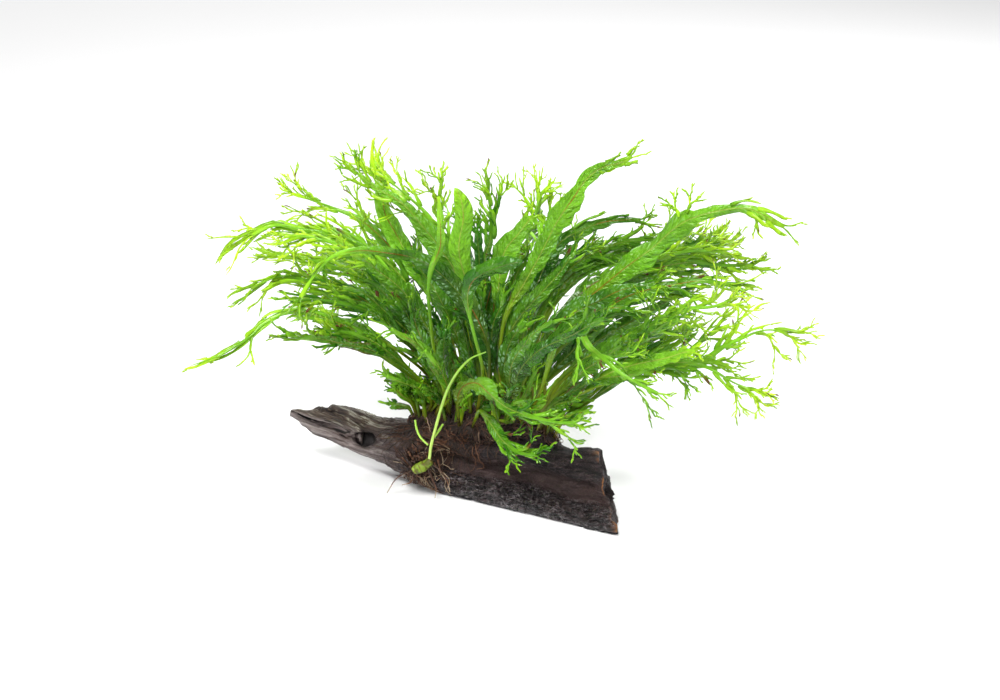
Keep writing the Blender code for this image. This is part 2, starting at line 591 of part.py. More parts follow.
def tube(name, route, count, swell, radius, colour, roughness, home, sides):
    """A round strand along a route of the front view; swell gives its thickness by share."""
    curve = bpy.data.curves.new(name, "CURVE")
    curve.dimensions = "3D"
    curve.bevel_depth = radius
    curve.bevel_resolution = sides
    curve.use_fill_caps = True
    path, _ = even_path([seen(px, py, y * MM) for px, py, y in route], count)
    spline = curve.splines.new("POLY")
    spline.points.add(count - 1)
    for i, point in enumerate(path):
        spline.points[i].co = (*point, 1.0)
        spline.points[i].radius = swell(i / (count - 1))
    obj = bpy.data.objects.new(name, curve)
    home.objects.link(obj)
    bpy.context.view_layer.update()
    mesh = bpy.data.meshes.new_from_object(obj.evaluated_get(bpy.context.evaluated_depsgraph_get()))
    bpy.data.objects.remove(obj)
    shape = new_object(name, [v.co for v in mesh.vertices], [tuple(p.vertices) for p in mesh.polygons],
                       colour, roughness, home)
    bm = bmesh.new()
    bm.from_mesh(shape.data)
    bmesh.ops.remove_doubles(bm, verts=bm.verts, dist=1e-6)
    bmesh.ops.recalc_face_normals(bm, faces=bm.faces)
    bm.to_mesh(shape.data)
    bm.free()
    return shape


def build_runner(home, cutters):
    """Pale runner stalk, the ringed stump it ends in, and the roots that hang from it."""
    tube("runner_stalk", RUNNER_ROUTE, 15, lambda t: 0.75 + 0.25 * t, RUNNER_RADIUS,
         (0.300, 0.560, 0.100, 1.0), 0.35, home, 1)

    def ringed(t):
        belly = 0.62 + 0.38 * math.sin(math.pi * (0.12 + 0.76 * t))
        return belly * (1.0 - 0.10 * math.cos(2.0 * math.pi * STUMP_RINGS * t))

    stump = tube("runner_stump", STUMP_ROUTE, 13, ringed, STUMP_RADIUS,
                 (0.260, 0.330, 0.060, 1.0), 0.5, home, 1)
    for number, route in enumerate(HANGING_ROOTS):
        root = tube("root_strand", route, 8, lambda t: 1.0 - 0.35 * t, ROOT_RADIUS,
                    (0.080, 0.035, 0.015, 1.0), 0.7, cutters, 0)
        root.display_type = "WIRE"
        root.hide_render = True
        join = stump.modifiers.new("Root %d" % (number + 1), "BOOLEAN")
        join.operation = "UNION"
        join.solver = "EXACT"
        join.object = root


def main():
    """Clear the scene and build the plant."""
    for obj in list(bpy.data.objects):
        bpy.data.objects.remove(obj)
    home = bpy.data.collections.new("java_fern_on_driftwood")
    cutters = bpy.data.collections.new("cutters")
    bpy.context.scene.collection.children.link(home)
    bpy.context.scene.collection.children.link(cutters)

    wood = build_driftwood(home)
    bpy.context.view_layer.update()
    wood_tree = tree_of(wood)
    mat = build_root_mat(home, wood_tree)
    bpy.context.view_layer.update()
    mat_tree = tree_of(mat)
    build_runner(home, cutters)
    build_fronds(home, mat_tree)


main()
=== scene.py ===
"""Java fern with forked, lace-like frond tips, grown fast to a piece of driftwood.

Every piece is a surface worked out with numpy in metres, +Z up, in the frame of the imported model.
Routes are written as they show in a front view: a picture point (px, py), one unit being 0.45 mm
at the middle of the plant, with a depth in mm added.
"""

import math
import random
from collections import namedtuple

import bpy
import numpy as np
from bpy.props import FloatProperty, FloatVectorProperty, IntProperty, PointerProperty
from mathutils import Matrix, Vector
from mathutils.bvhtree import BVHTree


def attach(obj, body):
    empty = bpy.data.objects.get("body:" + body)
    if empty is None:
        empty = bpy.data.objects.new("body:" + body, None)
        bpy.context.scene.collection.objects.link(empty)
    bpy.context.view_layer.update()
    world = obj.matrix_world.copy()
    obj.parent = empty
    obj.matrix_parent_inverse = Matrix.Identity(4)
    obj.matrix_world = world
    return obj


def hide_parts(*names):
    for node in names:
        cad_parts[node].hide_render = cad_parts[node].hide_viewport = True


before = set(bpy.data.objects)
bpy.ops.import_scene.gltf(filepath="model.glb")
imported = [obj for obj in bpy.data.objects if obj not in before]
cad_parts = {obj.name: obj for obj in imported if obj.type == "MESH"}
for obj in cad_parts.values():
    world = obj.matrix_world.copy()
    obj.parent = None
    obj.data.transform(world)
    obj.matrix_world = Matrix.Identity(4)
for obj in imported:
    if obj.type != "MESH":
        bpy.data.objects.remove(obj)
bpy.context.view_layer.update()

bl_info = {
    "name": "Java fern on driftwood",
    "version": (1, 0, 0),
    "blender": (4, 5, 0),
    "location": "3D View > Sidebar > Java fern",
    "description": "Builds a java fern with lace-like frond tips on a piece of driftwood",
    "category": "Add Mesh",
}

MM = 0.001
BODY = "root"

# The front view: looking along +Y and 18 degrees down, from 1.2 m.
VIEW_DROP = math.radians(18)
VIEW_DISTANCE = 1.2
UNIT = 0.45 * MM
VIEW_MIDDLE = (500, 350)
ORIGIN_SEEN_AT = (545, 508.2)
PICTURE_WIDTH = 1000
SENSOR = 36
RIGHT = np.array([1, 0, 0])
UP = np.array([0, math.sin(VIEW_DROP), math.cos(VIEW_DROP)])
FORWARD = np.array([0, math.cos(VIEW_DROP), -math.sin(VIEW_DROP)])
EYE = (RIGHT * (VIEW_MIDDLE[0] - ORIGIN_SEEN_AT[0]) * UNIT
       + UP * (ORIGIN_SEEN_AT[1] - VIEW_MIDDLE[1]) * UNIT - FORWARD * VIEW_DISTANCE)

# Driftwood, as distances along its own length from a point below the front edge.
WOOD_YAW = math.radians(33)
WOOD_FRONT = -14 * MM
WOOD_LEFT = -141.5 * MM
WOOD_RIGHT = 37.5 * MM
WOOD_REST_FROM = -46 * MM
WOOD_END_SLANT = 10.5 * MM
WOOD_END_SKEW = 0.62
# Rings along the wood, points around each, and further rings that close its two ends.
WOOD_ROWS, WOOD_SIDES, LEFT_CAP, RIGHT_CAP = 340, 176, 9, 14
WOOD_DEPTH = [(-141.5, 10), (-122, 19), (-90, 29), (-50, 38), (0, 38), (37.5, 32)]
WOOD_TOP_LINE = [
    (285, 411), (293, 409), (300, 406), (317, 405), (345, 410), (370, 421), (400, 424), (440, 429),
    (480, 431), (510, 431), (537, 436), (546, 442), (558, 450), (570, 453), (582, 452), (597, 454),
    (606, 462), (640, 480)]
WOOD_UNDER_LINE = [
    (285, 417), (293, 418), (299, 424), (310, 434), (335, 445), (345, 451), (383, 467), (392, 473),
    (430, 488), (444, 494), (460, 500), (640, 536)]
# Sections as (share of the depth, share of the height), from the front bottom edge up and over.
SECTION_THICK = [
    (0.1, 0), (0.02, 0.07), (0, 0.17), (0.05, 0.27), (0.17, 0.35), (0.24, 0.48), (0.22, 0.62),
    (0.2, 0.76), (0.27, 0.9), (0.42, 1), (0.6, 0.97), (0.8, 0.84), (0.95, 0.6), (1, 0.34), (0.93, 0.12),
    (0.82, 0), (0.58, 0), (0.34, 0)]
SECTION_THIN = [
    (0.16, 0), (0.05, 0.12), (0, 0.3), (0.05, 0.44), (0.13, 0.5), (0.11, 0.66), (0.2, 0.8), (0.33, 0.84),
    (0.42, 0.96), (0.5, 1), (0.62, 0.92), (0.8, 0.86), (0.95, 0.66), (1, 0.38), (0.9, 0.14), (0.78, 0),
    (0.58, -0.04), (0.34, -0.04)]
KNOT_HOLE_SEEN = (364, 441)
KNOT_HOLE_DEPTH = 4.5 * MM
# Clefts in the front of the wood: from and to as seen, half width in units, depth in mm.
CLEFTS = [
    ((486, 482), (530, 502), 2, 3.2), ((455, 458), (500, 470), 2, 0.9), ((298, 412), (384, 427), 0.8, 1),
    ((316, 409), (384, 421), 0.7, 0.8), ((306, 418), (352, 431), 0.6, 0.7),
    ((470, 465), (606, 487), 4, 1.5), ((545, 462), (602, 472), 1.2, 0.8),
    ((400, 440), (432, 466), 2.6, 1.2), ((520, 452), (596, 462), 1.2, 0.7),
    ((372, 440), (420, 470), 1.2, 0.9), ((560, 496), (560, 518), 0.9, 1),
    ((585, 500), (588, 522), 0.8, 0.9), ((535, 490), (533, 510), 0.9, 0.9),
    ((505, 478), (500, 495), 0.8, 0.8), ((600, 492), (606, 520), 0.8, 0.8)]

# Root mat and rhizome on top of the wood.
MAT_FROM = -84 * MM
MAT_TO = -8 * MM
MAT_MIDDLE = 19 * MM
MAT_HALF_WIDTH = 8.5 * MM
MAT_HEIGHT = 6 * MM

# Fronds.  Those rooted in front of FRONT_ROW lean out of the clump early, the others late.
PETIOLE_WIDTH = 1.5 * MM
FOOT_LIFT = 0.95 * MM
FOOT_SPREAD = 0.9
FRONT_ROW = -4 * MM
LEAN_EARLY = 0.72
LEAN_LATE = 1.15
SPINE_POINTS = 120
TIP_STARTS = 0.9
PRONG_MOST = 16 * MM
PRONG_WIDEST = 1.9 * MM
PRONG_NARROWEST = 0.85 * MM
FORKED_NARROWEST = 1.5 * MM
SPROUT_HALF = 0.9 * MM
# Middle of the part of the plant that lies in its own shade, as seen from the front: leaves near it are
# painted darker (painted shade), leaves far from it lighter (painted light).
PLANT_HEART = (-15 * MM, 0, 45 * MM)

# What the fronds of one style share.  widen, full and taper are shares: where the stalk starts to
# widen, where the blade is widest, and the part of its width left before the tip.  ends is where
# the blade stops, sprouts the places of side prongs, reach their length and levels the tip's
# forks.  ribbons is the number of finer side ribbons, first and last the shares between which they
# leave the blade, long their length in mm, tines the small prongs on each, spread how far they
# lean out, core the part of its width that the blade keeps between them, comb how many of the
# small prongs point up rather than down (0 half of them, 1 all) and small their length in mm.
# ruffle is how lobed and wavy the margin is, paler how much lighter the far half is (darker below
# 0), scorched how brown the margin is, fresh how pale the stalk stays near its foot, and slim the
# blade's width as a share of the width in its row.  standing lists further prongs on the edge:
# share of the length, side, heading from the blade's way in degrees, length in mm and forks.
Style = namedtuple("Style", "slot widen full taper ends sprouts reach levels ribbons first last long "
                   "tines spread core comb small ruffle paler scorched fresh slim standing",
                   defaults=(1, 0, 0, 0, 1, ()))
STYLES = {
    "strap": Style("strap_leaf", 0.24, 0.62, 0.34, 0.88, [], 0, 2, 4, 0.8, 0.96, 9, 2, 0.8, 1, 0.2, 4.4),
    "plume": Style("plume_leaf", 0.3, 0.58, 0.36, 0.48, [0.64, 0.76, 0.87], 0.13, 1, 12, 0.52, 0.94,
                   16, 3, 0.7, 0.72, 0.4, 4.6),
    "lace": Style("lace_leaf", 0.34, 0.55, 0.22, 0.5, [0.62, 0.74, 0.85], 0.16, 2, 9, 0.48, 0.94,
                  14, 3, 0.85, 0.66, 0.2, 5),
    "young": Style("young_leaf", 0.25, 0.6, 0.45, 0.74, [], 0, 1, 3, 0.6, 0.9, 5, 1, 1, 1, 0, 3.6,
                   1.3, 0, 0.8),
}

# Each frond: its foot as a share of the mat's length and a side in mm, its blade width in mm, the
# depth of its tip in mm, the turn of its face in degrees, how light it is from 0 (old, dark green)
# to 1 (new, lime green), and its route in the front view from above the foot to the end of the tip.
# own holds the values in which it differs from its style.
Frond = namedtuple("Frond", "style name foot side width tip_depth turn tone route own", defaults=({},))
FRONDS = [Frond(*row) for row in (
    ("strap", "tall_left", 0.34, 3, 8.6, 62, 8, 0.95,
     [(458, 345), (430, 290), (400, 243), (385, 216), (384, 190), (377, 163), (378, 137)],
     dict(full=0.66, taper=0.5, levels=1, last=0.88, long=15, tines=1, spread=0.25, small=3)),
    ("strap", "red_rib_left", 0.46, 1.5, 10, 40, -6, 0.42,
     [(470, 335), (456, 276), (442, 251), (427, 230), (406, 208), (385, 194), (364, 178), (345, 156)],
     dict(full=0.55, taper=0.3, ribbons=6, first=0.74, last=0.95, long=12, tines=3, spread=0.9, comb=0.3,
          small=6)),
    ("lace", "far_left_high", 0.28, 5, 6.5, 92, 10, 0.6,
     [(452, 340), (420, 282), (390, 246), (360, 221), (331, 206), (309, 198), (284, 184)],
     dict(sprouts=[0.72, 0.86], reach=0.1, ribbons=7, first=0.52, long=13, spread=0.7, comb=0.6,
          small=5.5)),
    ("plume", "arch_left", 0.22, -0.5, 6, 28, 0, 0.6,
     [(445, 352), (408, 296), (372, 258), (338, 239), (300, 230), (275, 224), (247, 239), (217, 262)],
     dict(slim=0.9, sprouts=[0.72], ends=0.86, first=0.42, last=0.88, long=28, tines=2, spread=0.24,
          core=0.5, small=4, standing=[(0.86, -1, -50, 5, 1)])),
    ("plume", "left_upper", 0.16, 4.5, 6.5, 62, 12, 0.55,
     [(442, 360), (402, 312), (362, 280), (322, 262), (285, 257), (256, 252)],
     dict(ribbons=15, first=0.38, long=19, spread=0.5, core=0.4, comb=0.2, small=5)),
    ("plume", "left_middle", 0.14, 0.5, 6.5, 12, -10, 0.42,
     [(434, 362), (388, 316), (338, 288), (290, 277), (262, 283), (236, 296)],
     dict(ribbons=15, first=0.38, long=19, tines=2, spread=0.45, core=0.4, small=4.8)),
    ("strap", "dark_arch_left", 0.57, -3.5, 9.5, -32, -14, 0.1,
     [(489, 352), (474, 313), (455, 288), (435, 270), (410, 257), (380, 250), (351, 253), (325, 262),
      (306, 286), (293, 317)],
     dict(widen=0.2, full=0.38, taper=0.12, levels=1, ribbons=3, first=0.74, last=0.94, long=8, tines=1,
          spread=0.4, small=3, paler=0.55)),
    ("lace", "lowest_left", 0.08, -3, 6, -3, 8, 0.55,
     [(436, 385), (396, 349), (352, 328), (312, 315), (284, 313), (262, 322), (247, 340),
      (226, 353), (190, 366)],
     dict(slim=0.85, sprouts=[], levels=0, taper=0.42, first=0.46, last=0.93, long=24, tines=1, spread=0.13,
          core=0.55, small=2.8, ruffle=1.3, standing=[(0.8, 1, 50, 7.5, 1)])),
    ("plume", "low_left", 0.1, -5, 8, -32, -8, 0.28,
     [(434, 396), (402, 370), (371, 350), (345, 343), (312, 339), (268, 329)],
     dict(slim=0.64, sprouts=[0.8], ends=0.88, ribbons=8, first=0.62, long=13, tines=2, spread=0.4,
          core=0.9, small=3.6, ruffle=1.5, scorched=0.7)),
    ("strap", "light_left", 0.07, 2, 7.5, 40, 14, 0.62,
     [(434, 402), (412, 376), (392, 352), (370, 336), (346, 322), (318, 312), (296, 313)],
     dict(first=0.7, last=0.94, spread=0.7)),
    ("strap", "broad_left", 0.24, -3, 9, 4, -12, 0.34,
     [(446, 362), (424, 322), (402, 290), (382, 272), (358, 257), (334, 250)]),
    ("plume", "narrow_upright", 0.3, -5.5, 5, -26, 10, 0.42,
     [(444, 392), (434, 350), (429, 305), (431, 271), (439, 245), (441, 215), (436, 190), (426, 177)],
     dict(slim=0.76, widen=0.58, full=0.72, taper=0.6, ends=0.86, sprouts=[], levels=2, ribbons=5,
          first=0.8, last=0.95, long=8, spread=1.1, core=0.9, comb=-0.7, small=6, paler=0.5)),
    ("strap", "light_upright", 0.58, 0.5, 8.6, 2, 4, 0.74,
     [(488, 378), (481, 341), (472, 302), (464, 272), (460, 243), (462, 217), (461, 200), (455, 188)],
     dict(slim=1.1, widen=0.46, full=0.74, taper=0.8, ends=0.93, levels=0, ribbons=0, tines=0, ruffle=0.6)),
    ("plume", "middle_back", 0.6, 4, 7, 52, -10, 0.3,
     [(492, 350), (487, 298), (485, 258), (490, 235), (492, 212), (488, 192), (480, 178)],
     dict(slim=0.62, ribbons=8, first=0.7, last=0.96, long=11, spread=1.2, small=6)),
    ("strap", "dark_hooked", 0.52, -6, 5.6, -36, 6, 0.62,
     [(482, 366), (468, 312), (471, 287), (486, 272), (503, 265), (523, 261)],
     dict(slim=1.45, widen=0.6, full=0.76, taper=0.9, ends=0.94, levels=0, ribbons=0, tines=0,
          paler=-0.62)),
    ("strap", "bright_short", 0.66, 1.5, 7.6, 22, -8, 0.6,
     [(500, 352), (497, 300), (504, 258), (516, 237), (527, 222), (538, 212)],
     dict(slim=1.4, widen=0.44, full=0.76, taper=0.72, ends=0.93, levels=1, ribbons=2, first=0.88,
          last=0.95, long=5, tines=1)),
    ("lace", "fan_middle", 0.74, 4.5, 4.5, 66, 0, 0.8,
     [(520, 330), (533, 280), (541, 240), (537, 213), (541, 192), (549, 178)],
     dict(slim=0.8, widen=0.5, full=0.66, ribbons=8, first=0.6, last=0.95, long=13, spread=0.9, core=0.6,
          small=5.5)),
    ("strap", "tall_right", 0.7, -1.5, 11, 4, 6, 0.52,
     [(500, 372), (504, 322), (522, 287), (542, 251), (556, 226), (570, 201), (584, 181), (603, 168),
      (622, 162), (647, 146)],
     dict(taper=0.52, ruffle=1.5, levels=1, first=0.84, last=0.95, tines=1, spread=0.5, small=3.6)),
    ("strap", "long_arch_right", 0.88, -2.5, 10.4, -26, -6, 0.52,
     [(532, 360), (560, 319), (592, 295), (622, 271), (650, 249), (673, 230), (700, 216), (727, 208),
      (750, 209), (775, 223), (806, 235)],
     dict(full=0.55, taper=0.46, ruffle=1.3, levels=1, last=0.93, long=12, tines=1, spread=0.5, small=4,
          standing=[(0.69, 1, 88, 4.2, 2), (0.712, 1, 44, 4.2, 2), (0.88, -1, -60, 5, 1)])),
    ("strap", "dark_arch_right", 0.8, 2, 7.4, 34, 10, 0.14,
     [(520, 340), (538, 280), (558, 246), (580, 231), (602, 221), (626, 220), (660, 222)],
     dict(first=0.66, last=0.93, long=14, tines=1, spread=0.4, small=3.4)),
    ("plume", "right_upper", 0.86, 4, 7.5, 62, -8, 0.38,
     [(535, 345), (560, 290), (590, 262), (620, 251), (655, 249), (694, 244), (730, 233)],
     dict(ribbons=20, first=0.58, last=0.98, long=8.5, tines=4, spread=0.9, comb=0.9, core=0.6, small=4.4)),
    ("plume", "right_middle", 0.9, 1, 7, 24, 8, 0.3,
     [(545, 352), (598, 298), (645, 270), (685, 264), (722, 264), (770, 266)],
     dict(ribbons=17, first=0.58, last=0.97, long=9.5, spread=0.8, comb=0.8, core=0.6, small=4.2)),
    ("plume", "right_middle_low", 0.94, -1, 6.6, -8, -8, 0.34,
     [(550, 362), (606, 310), (655, 287), (700, 283), (738, 286), (770, 291)],
     dict(sprouts=[0.72], ends=0.84, ribbons=8, first=0.6, long=12, tines=2, spread=0.5, small=4.2,
          standing=[(0.62, -1, -75, 8, 0)])),
    ("plume", "right_far", 0.82, 6, 6.5, 86, 6, 0.48,
     [(548, 348), (596, 300), (640, 277), (682, 261), (716, 247), (744, 238)],
     dict(ribbons=18, first=0.6, last=0.98, long=8.5, tines=4, spread=0.9, comb=0.9, core=0.6, small=4.4)),
    ("lace", "right_curl", 0.96, -4.5, 7, -48, 12, 0.68,
     [(556, 388), (592, 356), (625, 340), (658, 325), (688, 309), (716, 305), (750, 297)],
     dict(first=0.56, fresh=0.14)),
    ("lace", "right_spray", 0.97, 1.5, 4.6, -16, -6, 0.66,
     [(562, 396), (612, 378), (660, 368), (700, 363), (733, 341), (768, 330), (812, 343)],
     dict(fresh=0.16)),
    ("lace", "right_spray_low", 0.945, -3.5, 4.4, -26, 4, 0.6,
     [(560, 404), (612, 380), (662, 364), (703, 367), (736, 382), (770, 402)],
     dict(fresh=0.16)),
    ("strap", "right_light", 0.92, -6, 7.2, -64, -14, 0.8,
     [(548, 408), (580, 388), (612, 372), (642, 364), (668, 356), (706, 350)],
     dict(widen=0.3, taper=0.55, levels=1, last=0.95, long=8, spread=0.7, fresh=0.16)),
    ("plume", "front_curl", 0.84, -6.5, 5.6, -78, 18, 0.6,
     [(540, 392), (556, 345), (577, 329), (590, 349), (612, 366), (638, 383), (672, 402)],
     dict(slim=0.62, widen=0.24, full=0.5, taper=0.5, ribbons=5, first=0.66, last=0.95, long=11, spread=0.8,
          core=0.8)),
    ("plume", "front_dark", 0.72, -7, 8, -72, -12, 0.14,
     [(512, 400), (520, 370), (538, 352), (560, 341), (584, 327), (616, 314)],
     dict(widen=0.16, full=0.46, taper=0.4, sprouts=[0.86], ends=0.9, ribbons=5, first=0.76, last=0.95,
          long=8, tines=2, core=1)),
    ("plume", "front_wavy", 0.4, -8, 8.6, -50, 10, 0.46,
     [(458, 412), (458, 396), (464, 386), (477, 383), (490, 393), (510, 409), (540, 420), (590, 423)],
     dict(slim=0.8, widen=0.2, full=0.34, taper=0.25, sprouts=[0.7, 0.84], ribbons=8, first=0.56, last=0.95,
          long=13, core=0.7, ruffle=3)),
    ("plume", "front_drop", 0.5, -7.8, 5.8, -30, 4, 0.36,
     [(476, 417), (480, 411), (488, 420), (500, 439), (518, 451), (542, 455)],
     dict(full=0.5, ribbons=6, first=0.6, last=0.95, long=9, tines=2, spread=0.8)),
    ("young", "front_sprig", 0.82, -7, 3.2, -20, 0, 0.5,
     [(518, 412), (524, 396), (531, 380), (542, 362)]),
    ("young", "front_leaf", 0.62, -5, 4, -18, 20, 0.5,
     [(505, 420), (511, 408), (520, 402), (533, 405)]),
    ("plume", "right_low_stalk", 0.96, 3.5, 6, 36, 6, 0.5,
     [(566, 418), (584, 402), (606, 381), (634, 352), (664, 334), (694, 322)],
     dict(fresh=0.16)),
    ("plume", "left_inner", 0.12, -1.5, 6.5, -2, 16, 0.22,
     [(440, 385), (416, 352), (390, 326), (360, 308), (328, 300), (280, 302)],
     dict(ribbons=13, first=0.42, long=17, tines=2, spread=0.45, core=0.45, small=4.2)),
    ("plume", "left_back", 0.24, 5, 7, 92, -14, 0.3,
     [(445, 372), (420, 332), (394, 298), (368, 274), (342, 264), (306, 264)]),
    ("young", "left_front_low", 0.2, -7, 5, -44, 6, 0.6,
     [(446, 395), (432, 362), (414, 342), (394, 330), (370, 325)]),
    ("young", "left_foot", 0.06, -2, 5, 22, -6, 0.9,
     [(418, 412), (409, 398), (397, 386), (378, 366)]),
    ("strap", "middle_dark", 0.54, 2.5, 8, 30, 16, 0.04,
     [(480, 380), (475, 340), (474, 302), (478, 268), (478, 238), (474, 214)]),
    ("strap", "right_dark_back", 0.73, 6.5, 9, 106, 10, 0.1,
     [(505, 372), (518, 330), (534, 296), (556, 270), (578, 252), (604, 238)]),
    ("strap", "right_dark_front", 0.78, -4.5, 9, -34, -10, 0.06,
     [(520, 390), (537, 352), (562, 322), (592, 303), (624, 291), (672, 280)]),
    ("strap", "right_inner", 0.91, -4, 8, 12, 12, 0.24,
     [(535, 396), (560, 370), (592, 345), (624, 326), (656, 306), (700, 288)]),
    ("plume", "right_front", 0.94, -7, 6.8, -60, 8, 0.28,
     [(548, 404), (575, 376), (606, 353), (636, 339), (662, 326), (694, 316)],
     dict(widen=0.16, full=0.5, taper=0.4, sprouts=[0.82], ends=0.88, ribbons=6, first=0.7, last=0.95,
          long=9, tines=2, core=0.9)),
    ("strap", "back_left", 0.38, 7, 8.5, 132, 0, 0.25,
     [(466, 350), (444, 300), (420, 266), (400, 248), (376, 240)]),
    ("strap", "back_middle", 0.5, 7.5, 8.5, 124, 0, 0.1,
     [(482, 350), (476, 300), (470, 256), (462, 228), (456, 210)]),
    ("strap", "back_right", 0.68, 7.5, 8.5, 120, 0, 0.2,
     [(506, 350), (512, 300), (520, 260), (530, 236), (546, 222)]),
    ("plume", "back_far_right", 0.86, 7.5, 7, 130, 0, 0.5,
     [(535, 352), (566, 308), (598, 282), (632, 268), (668, 262)],
     dict(ribbons=9, first=0.55, last=0.95, long=14, spread=0.9)),
    ("plume", "back_far_left", 0.09, 7, 7, 114, 0, 0.5,
     [(446, 366), (420, 330), (390, 306), (356, 292), (322, 290)],
     dict(ribbons=8, first=0.55, last=0.95, long=14, spread=0.9)),
)]

# Fronds that the model's solids leave out, each close beside one of them: that one's name, the
# style, how far its tip lies right, up and back of the other's in mm, the share of its length, its
# blade width in mm and how light it is.
Companion = namedtuple("Companion", "beside style right up back share width tone")
COMPANIONS = [Companion(*row) for row in (
    ("arch_left", "plume", 3, -5, -7, 0.88, 4.4, 0.66),
    ("arch_left", "plume", 5, 3, 5, 0.8, 4.2, 0.74),
    ("left_upper", "plume", 6, 7, 9, 0.84, 5, 0.55),
    ("left_upper", "strap", 12, -2, -6, 0.72, 7, 0.34),
    ("left_middle", "plume", 8, -6, 7, 0.86, 5, 0.45),
    ("left_middle", "strap", 14, 4, -7, 0.74, 6.6, 0.2),
    ("left_inner", "strap", 4, 6, 8, 0.9, 6.4, 0.35),
    ("left_inner", "strap", 16, 4, -8, 0.7, 7, 0.18),
    ("low_left", "plume", 6, 5, 8, 0.88, 4.8, 0.35),
    ("left_back", "strap", -4, 6, 9, 0.86, 6.8, 0.4),
    ("back_far_left", "plume", 8, 8, -9, 0.86, 5.2, 0.4),
    ("far_left_high", "plume", 14, -4, 8, 0.8, 5, 0.4),
    ("red_rib_left", "lace", 3, 7, 8, 0.97, 4.6, 0.66),
    ("tall_left", "strap", 9, -9, -8, 0.72, 7.6, 0.25),
    ("narrow_upright", "strap", -9, -6, 12, 0.66, 7.4, 0.12),
    ("light_upright", "strap", 8, -8, 9, 0.74, 7.6, 0.14),
    ("middle_back", "strap", 6, -8, -7, 0.76, 8.2, 0.2),
    ("middle_dark", "strap", 9, -4, 9, 0.86, 8.4, 0.08),
    ("middle_dark", "strap", -7, -10, -8, 0.7, 7.6, 0.06),
    ("bright_short", "strap", 8, -7, 9, 0.86, 8, 0.4),
    ("fan_middle", "lace", 8, 1, 7, 0.96, 3.6, 0.8),
    ("tall_right", "strap", 9, -14, 9, 0.7, 8.4, 0.28),
    ("right_dark_back", "strap", -6, 4, -8, 0.86, 8, 0.16),
    ("dark_arch_right", "strap", 4, -9, -7, 0.78, 6.4, 0.16),
    ("right_dark_front", "strap", 2, -7, -7, 0.86, 8, 0.1),
    ("right_upper", "plume", -4, 5, -8, 0.92, 5.4, 0.4),
    ("right_middle", "strap", -4, -5, 8, 0.84, 7, 0.24),
    ("right_middle_low", "plume", -6, -5, 7, 0.9, 5.2, 0.3),
    ("right_far", "plume", 4, 5, -9, 0.94, 5.2, 0.5),
    ("narrow_upright", "strap", 8, -10, 8, 0.56, 7.6, 0.1),
    ("broad_left", "strap", 9, -4, 9, 0.66, 7.6, 0.1),
    ("red_rib_left", "strap", 3, -12, 8, 0.56, 7.4, 0.16),
    ("left_back", "strap", 9, 1, 4, 0.62, 7.2, 0.14),
    ("dark_arch_left", "strap", 2, -9, 9, 0.52, 7.6, 0.08),
    ("right_upper", "plume", 5, -4, 7, 0.99, 5.2, 0.45),
    ("right_middle", "plume", -2, 6, -7, 0.98, 5.2, 0.55),
    ("right_curl", "strap", -10, -3, 8, 0.84, 5, 0.36),
    ("right_spray", "lace", -12, 5, 8, 0.84, 4.2, 0.55),
    ("right_light", "strap", -6, -6, 8, 0.88, 5.4, 0.5),
    ("right_light", "strap", -14, 7, -6, 0.76, 6.4, 0.36),
    ("right_front", "strap", -7, -7, 7, 0.88, 5.2, 0.35),
    ("right_low_stalk", "plume", 5, -7, -9, 0.9, 5, 0.4),
    ("right_inner", "strap", -6, 6, -7, 0.8, 7.2, 0.2),
    ("front_dark", "strap", -10, 6, 8, 0.86, 7, 0.3),
    ("left_foot", "young", 4, -5, -6, 0.9, 4, 0.75),
    ("left_foot", "young", 9, 4, 7, 0.86, 4.6, 0.5),
    ("left_front_low", "young", 7, -6, 6, 0.84, 4.4, 0.6),
    ("low_left", "young", -5, -4, -6, 0.38, 5, 0.6),
    ("low_left", "young", 7, -7, -8, 0.32, 4.4, 0.35),
    ("light_left", "young", 9, -5, -8, 0.38, 5, 0.3),
    ("light_left", "young", -5, 2, -7, 0.42, 5, 0.65),
    ("left_middle", "young", -4, -8, -10, 0.38, 5, 0.4),
    ("broad_left", "young", 6, -6, -9, 0.4, 5.6, 0.2),
    ("arch_left", "young", 6, -8, -9, 0.36, 5, 0.25),
    ("lowest_left", "young", 4, 6, -8, 0.34, 4.8, 0.5),
    ("tall_left", "young", 4, -8, -12, 0.34, 5.6, 0.15),
    ("red_rib_left", "strap", 8, -6, -12, 0.46, 7.4, 0.12),
    ("light_upright", "strap", 4, -4, 8, 0.56, 7, 0.1),
    ("dark_hooked", "strap", -6, -8, 12, 0.5, 7.4, 0.08),
    ("tall_right", "strap", -9, -4, 8, 0.52, 7.6, 0.15),
    ("tall_right", "strap", 7, -8, -9, 0.42, 7, 0.2),
    ("right_dark_front", "strap", -6, -8, 8, 0.56, 7.4, 0.1),
    ("right_upper", "strap", -6, -6, -8, 0.46, 7, 0.25),
    ("right_middle", "strap", 4, -6, -10, 0.44, 7, 0.14),
    ("right_light", "young", -4, -6, -7, 0.4, 5.6, 0.35),
    ("right_front", "young", 5, -7, -6, 0.46, 5.4, 0.15),
    ("right_low_stalk", "young", -6, 4, -6, 0.5, 5.2, 0.3),
    ("front_dark", "young", -5, -7, -5, 0.52, 5, 0.15),
    ("front_leaf", "young", 7, -3, 8, 0.9, 4.6, 0.3),
    ("front_sprig", "young", -6, 3, 8, 0.9, 4.2, 0.5),
)]
COMPANION_POINTS = 40
# Random draws of each frond start from its number plus one of these.
PRONG_SEED, BLADE_SEED, COMPANION_SEED, BASE_SEED = 100, 500, 200, 400

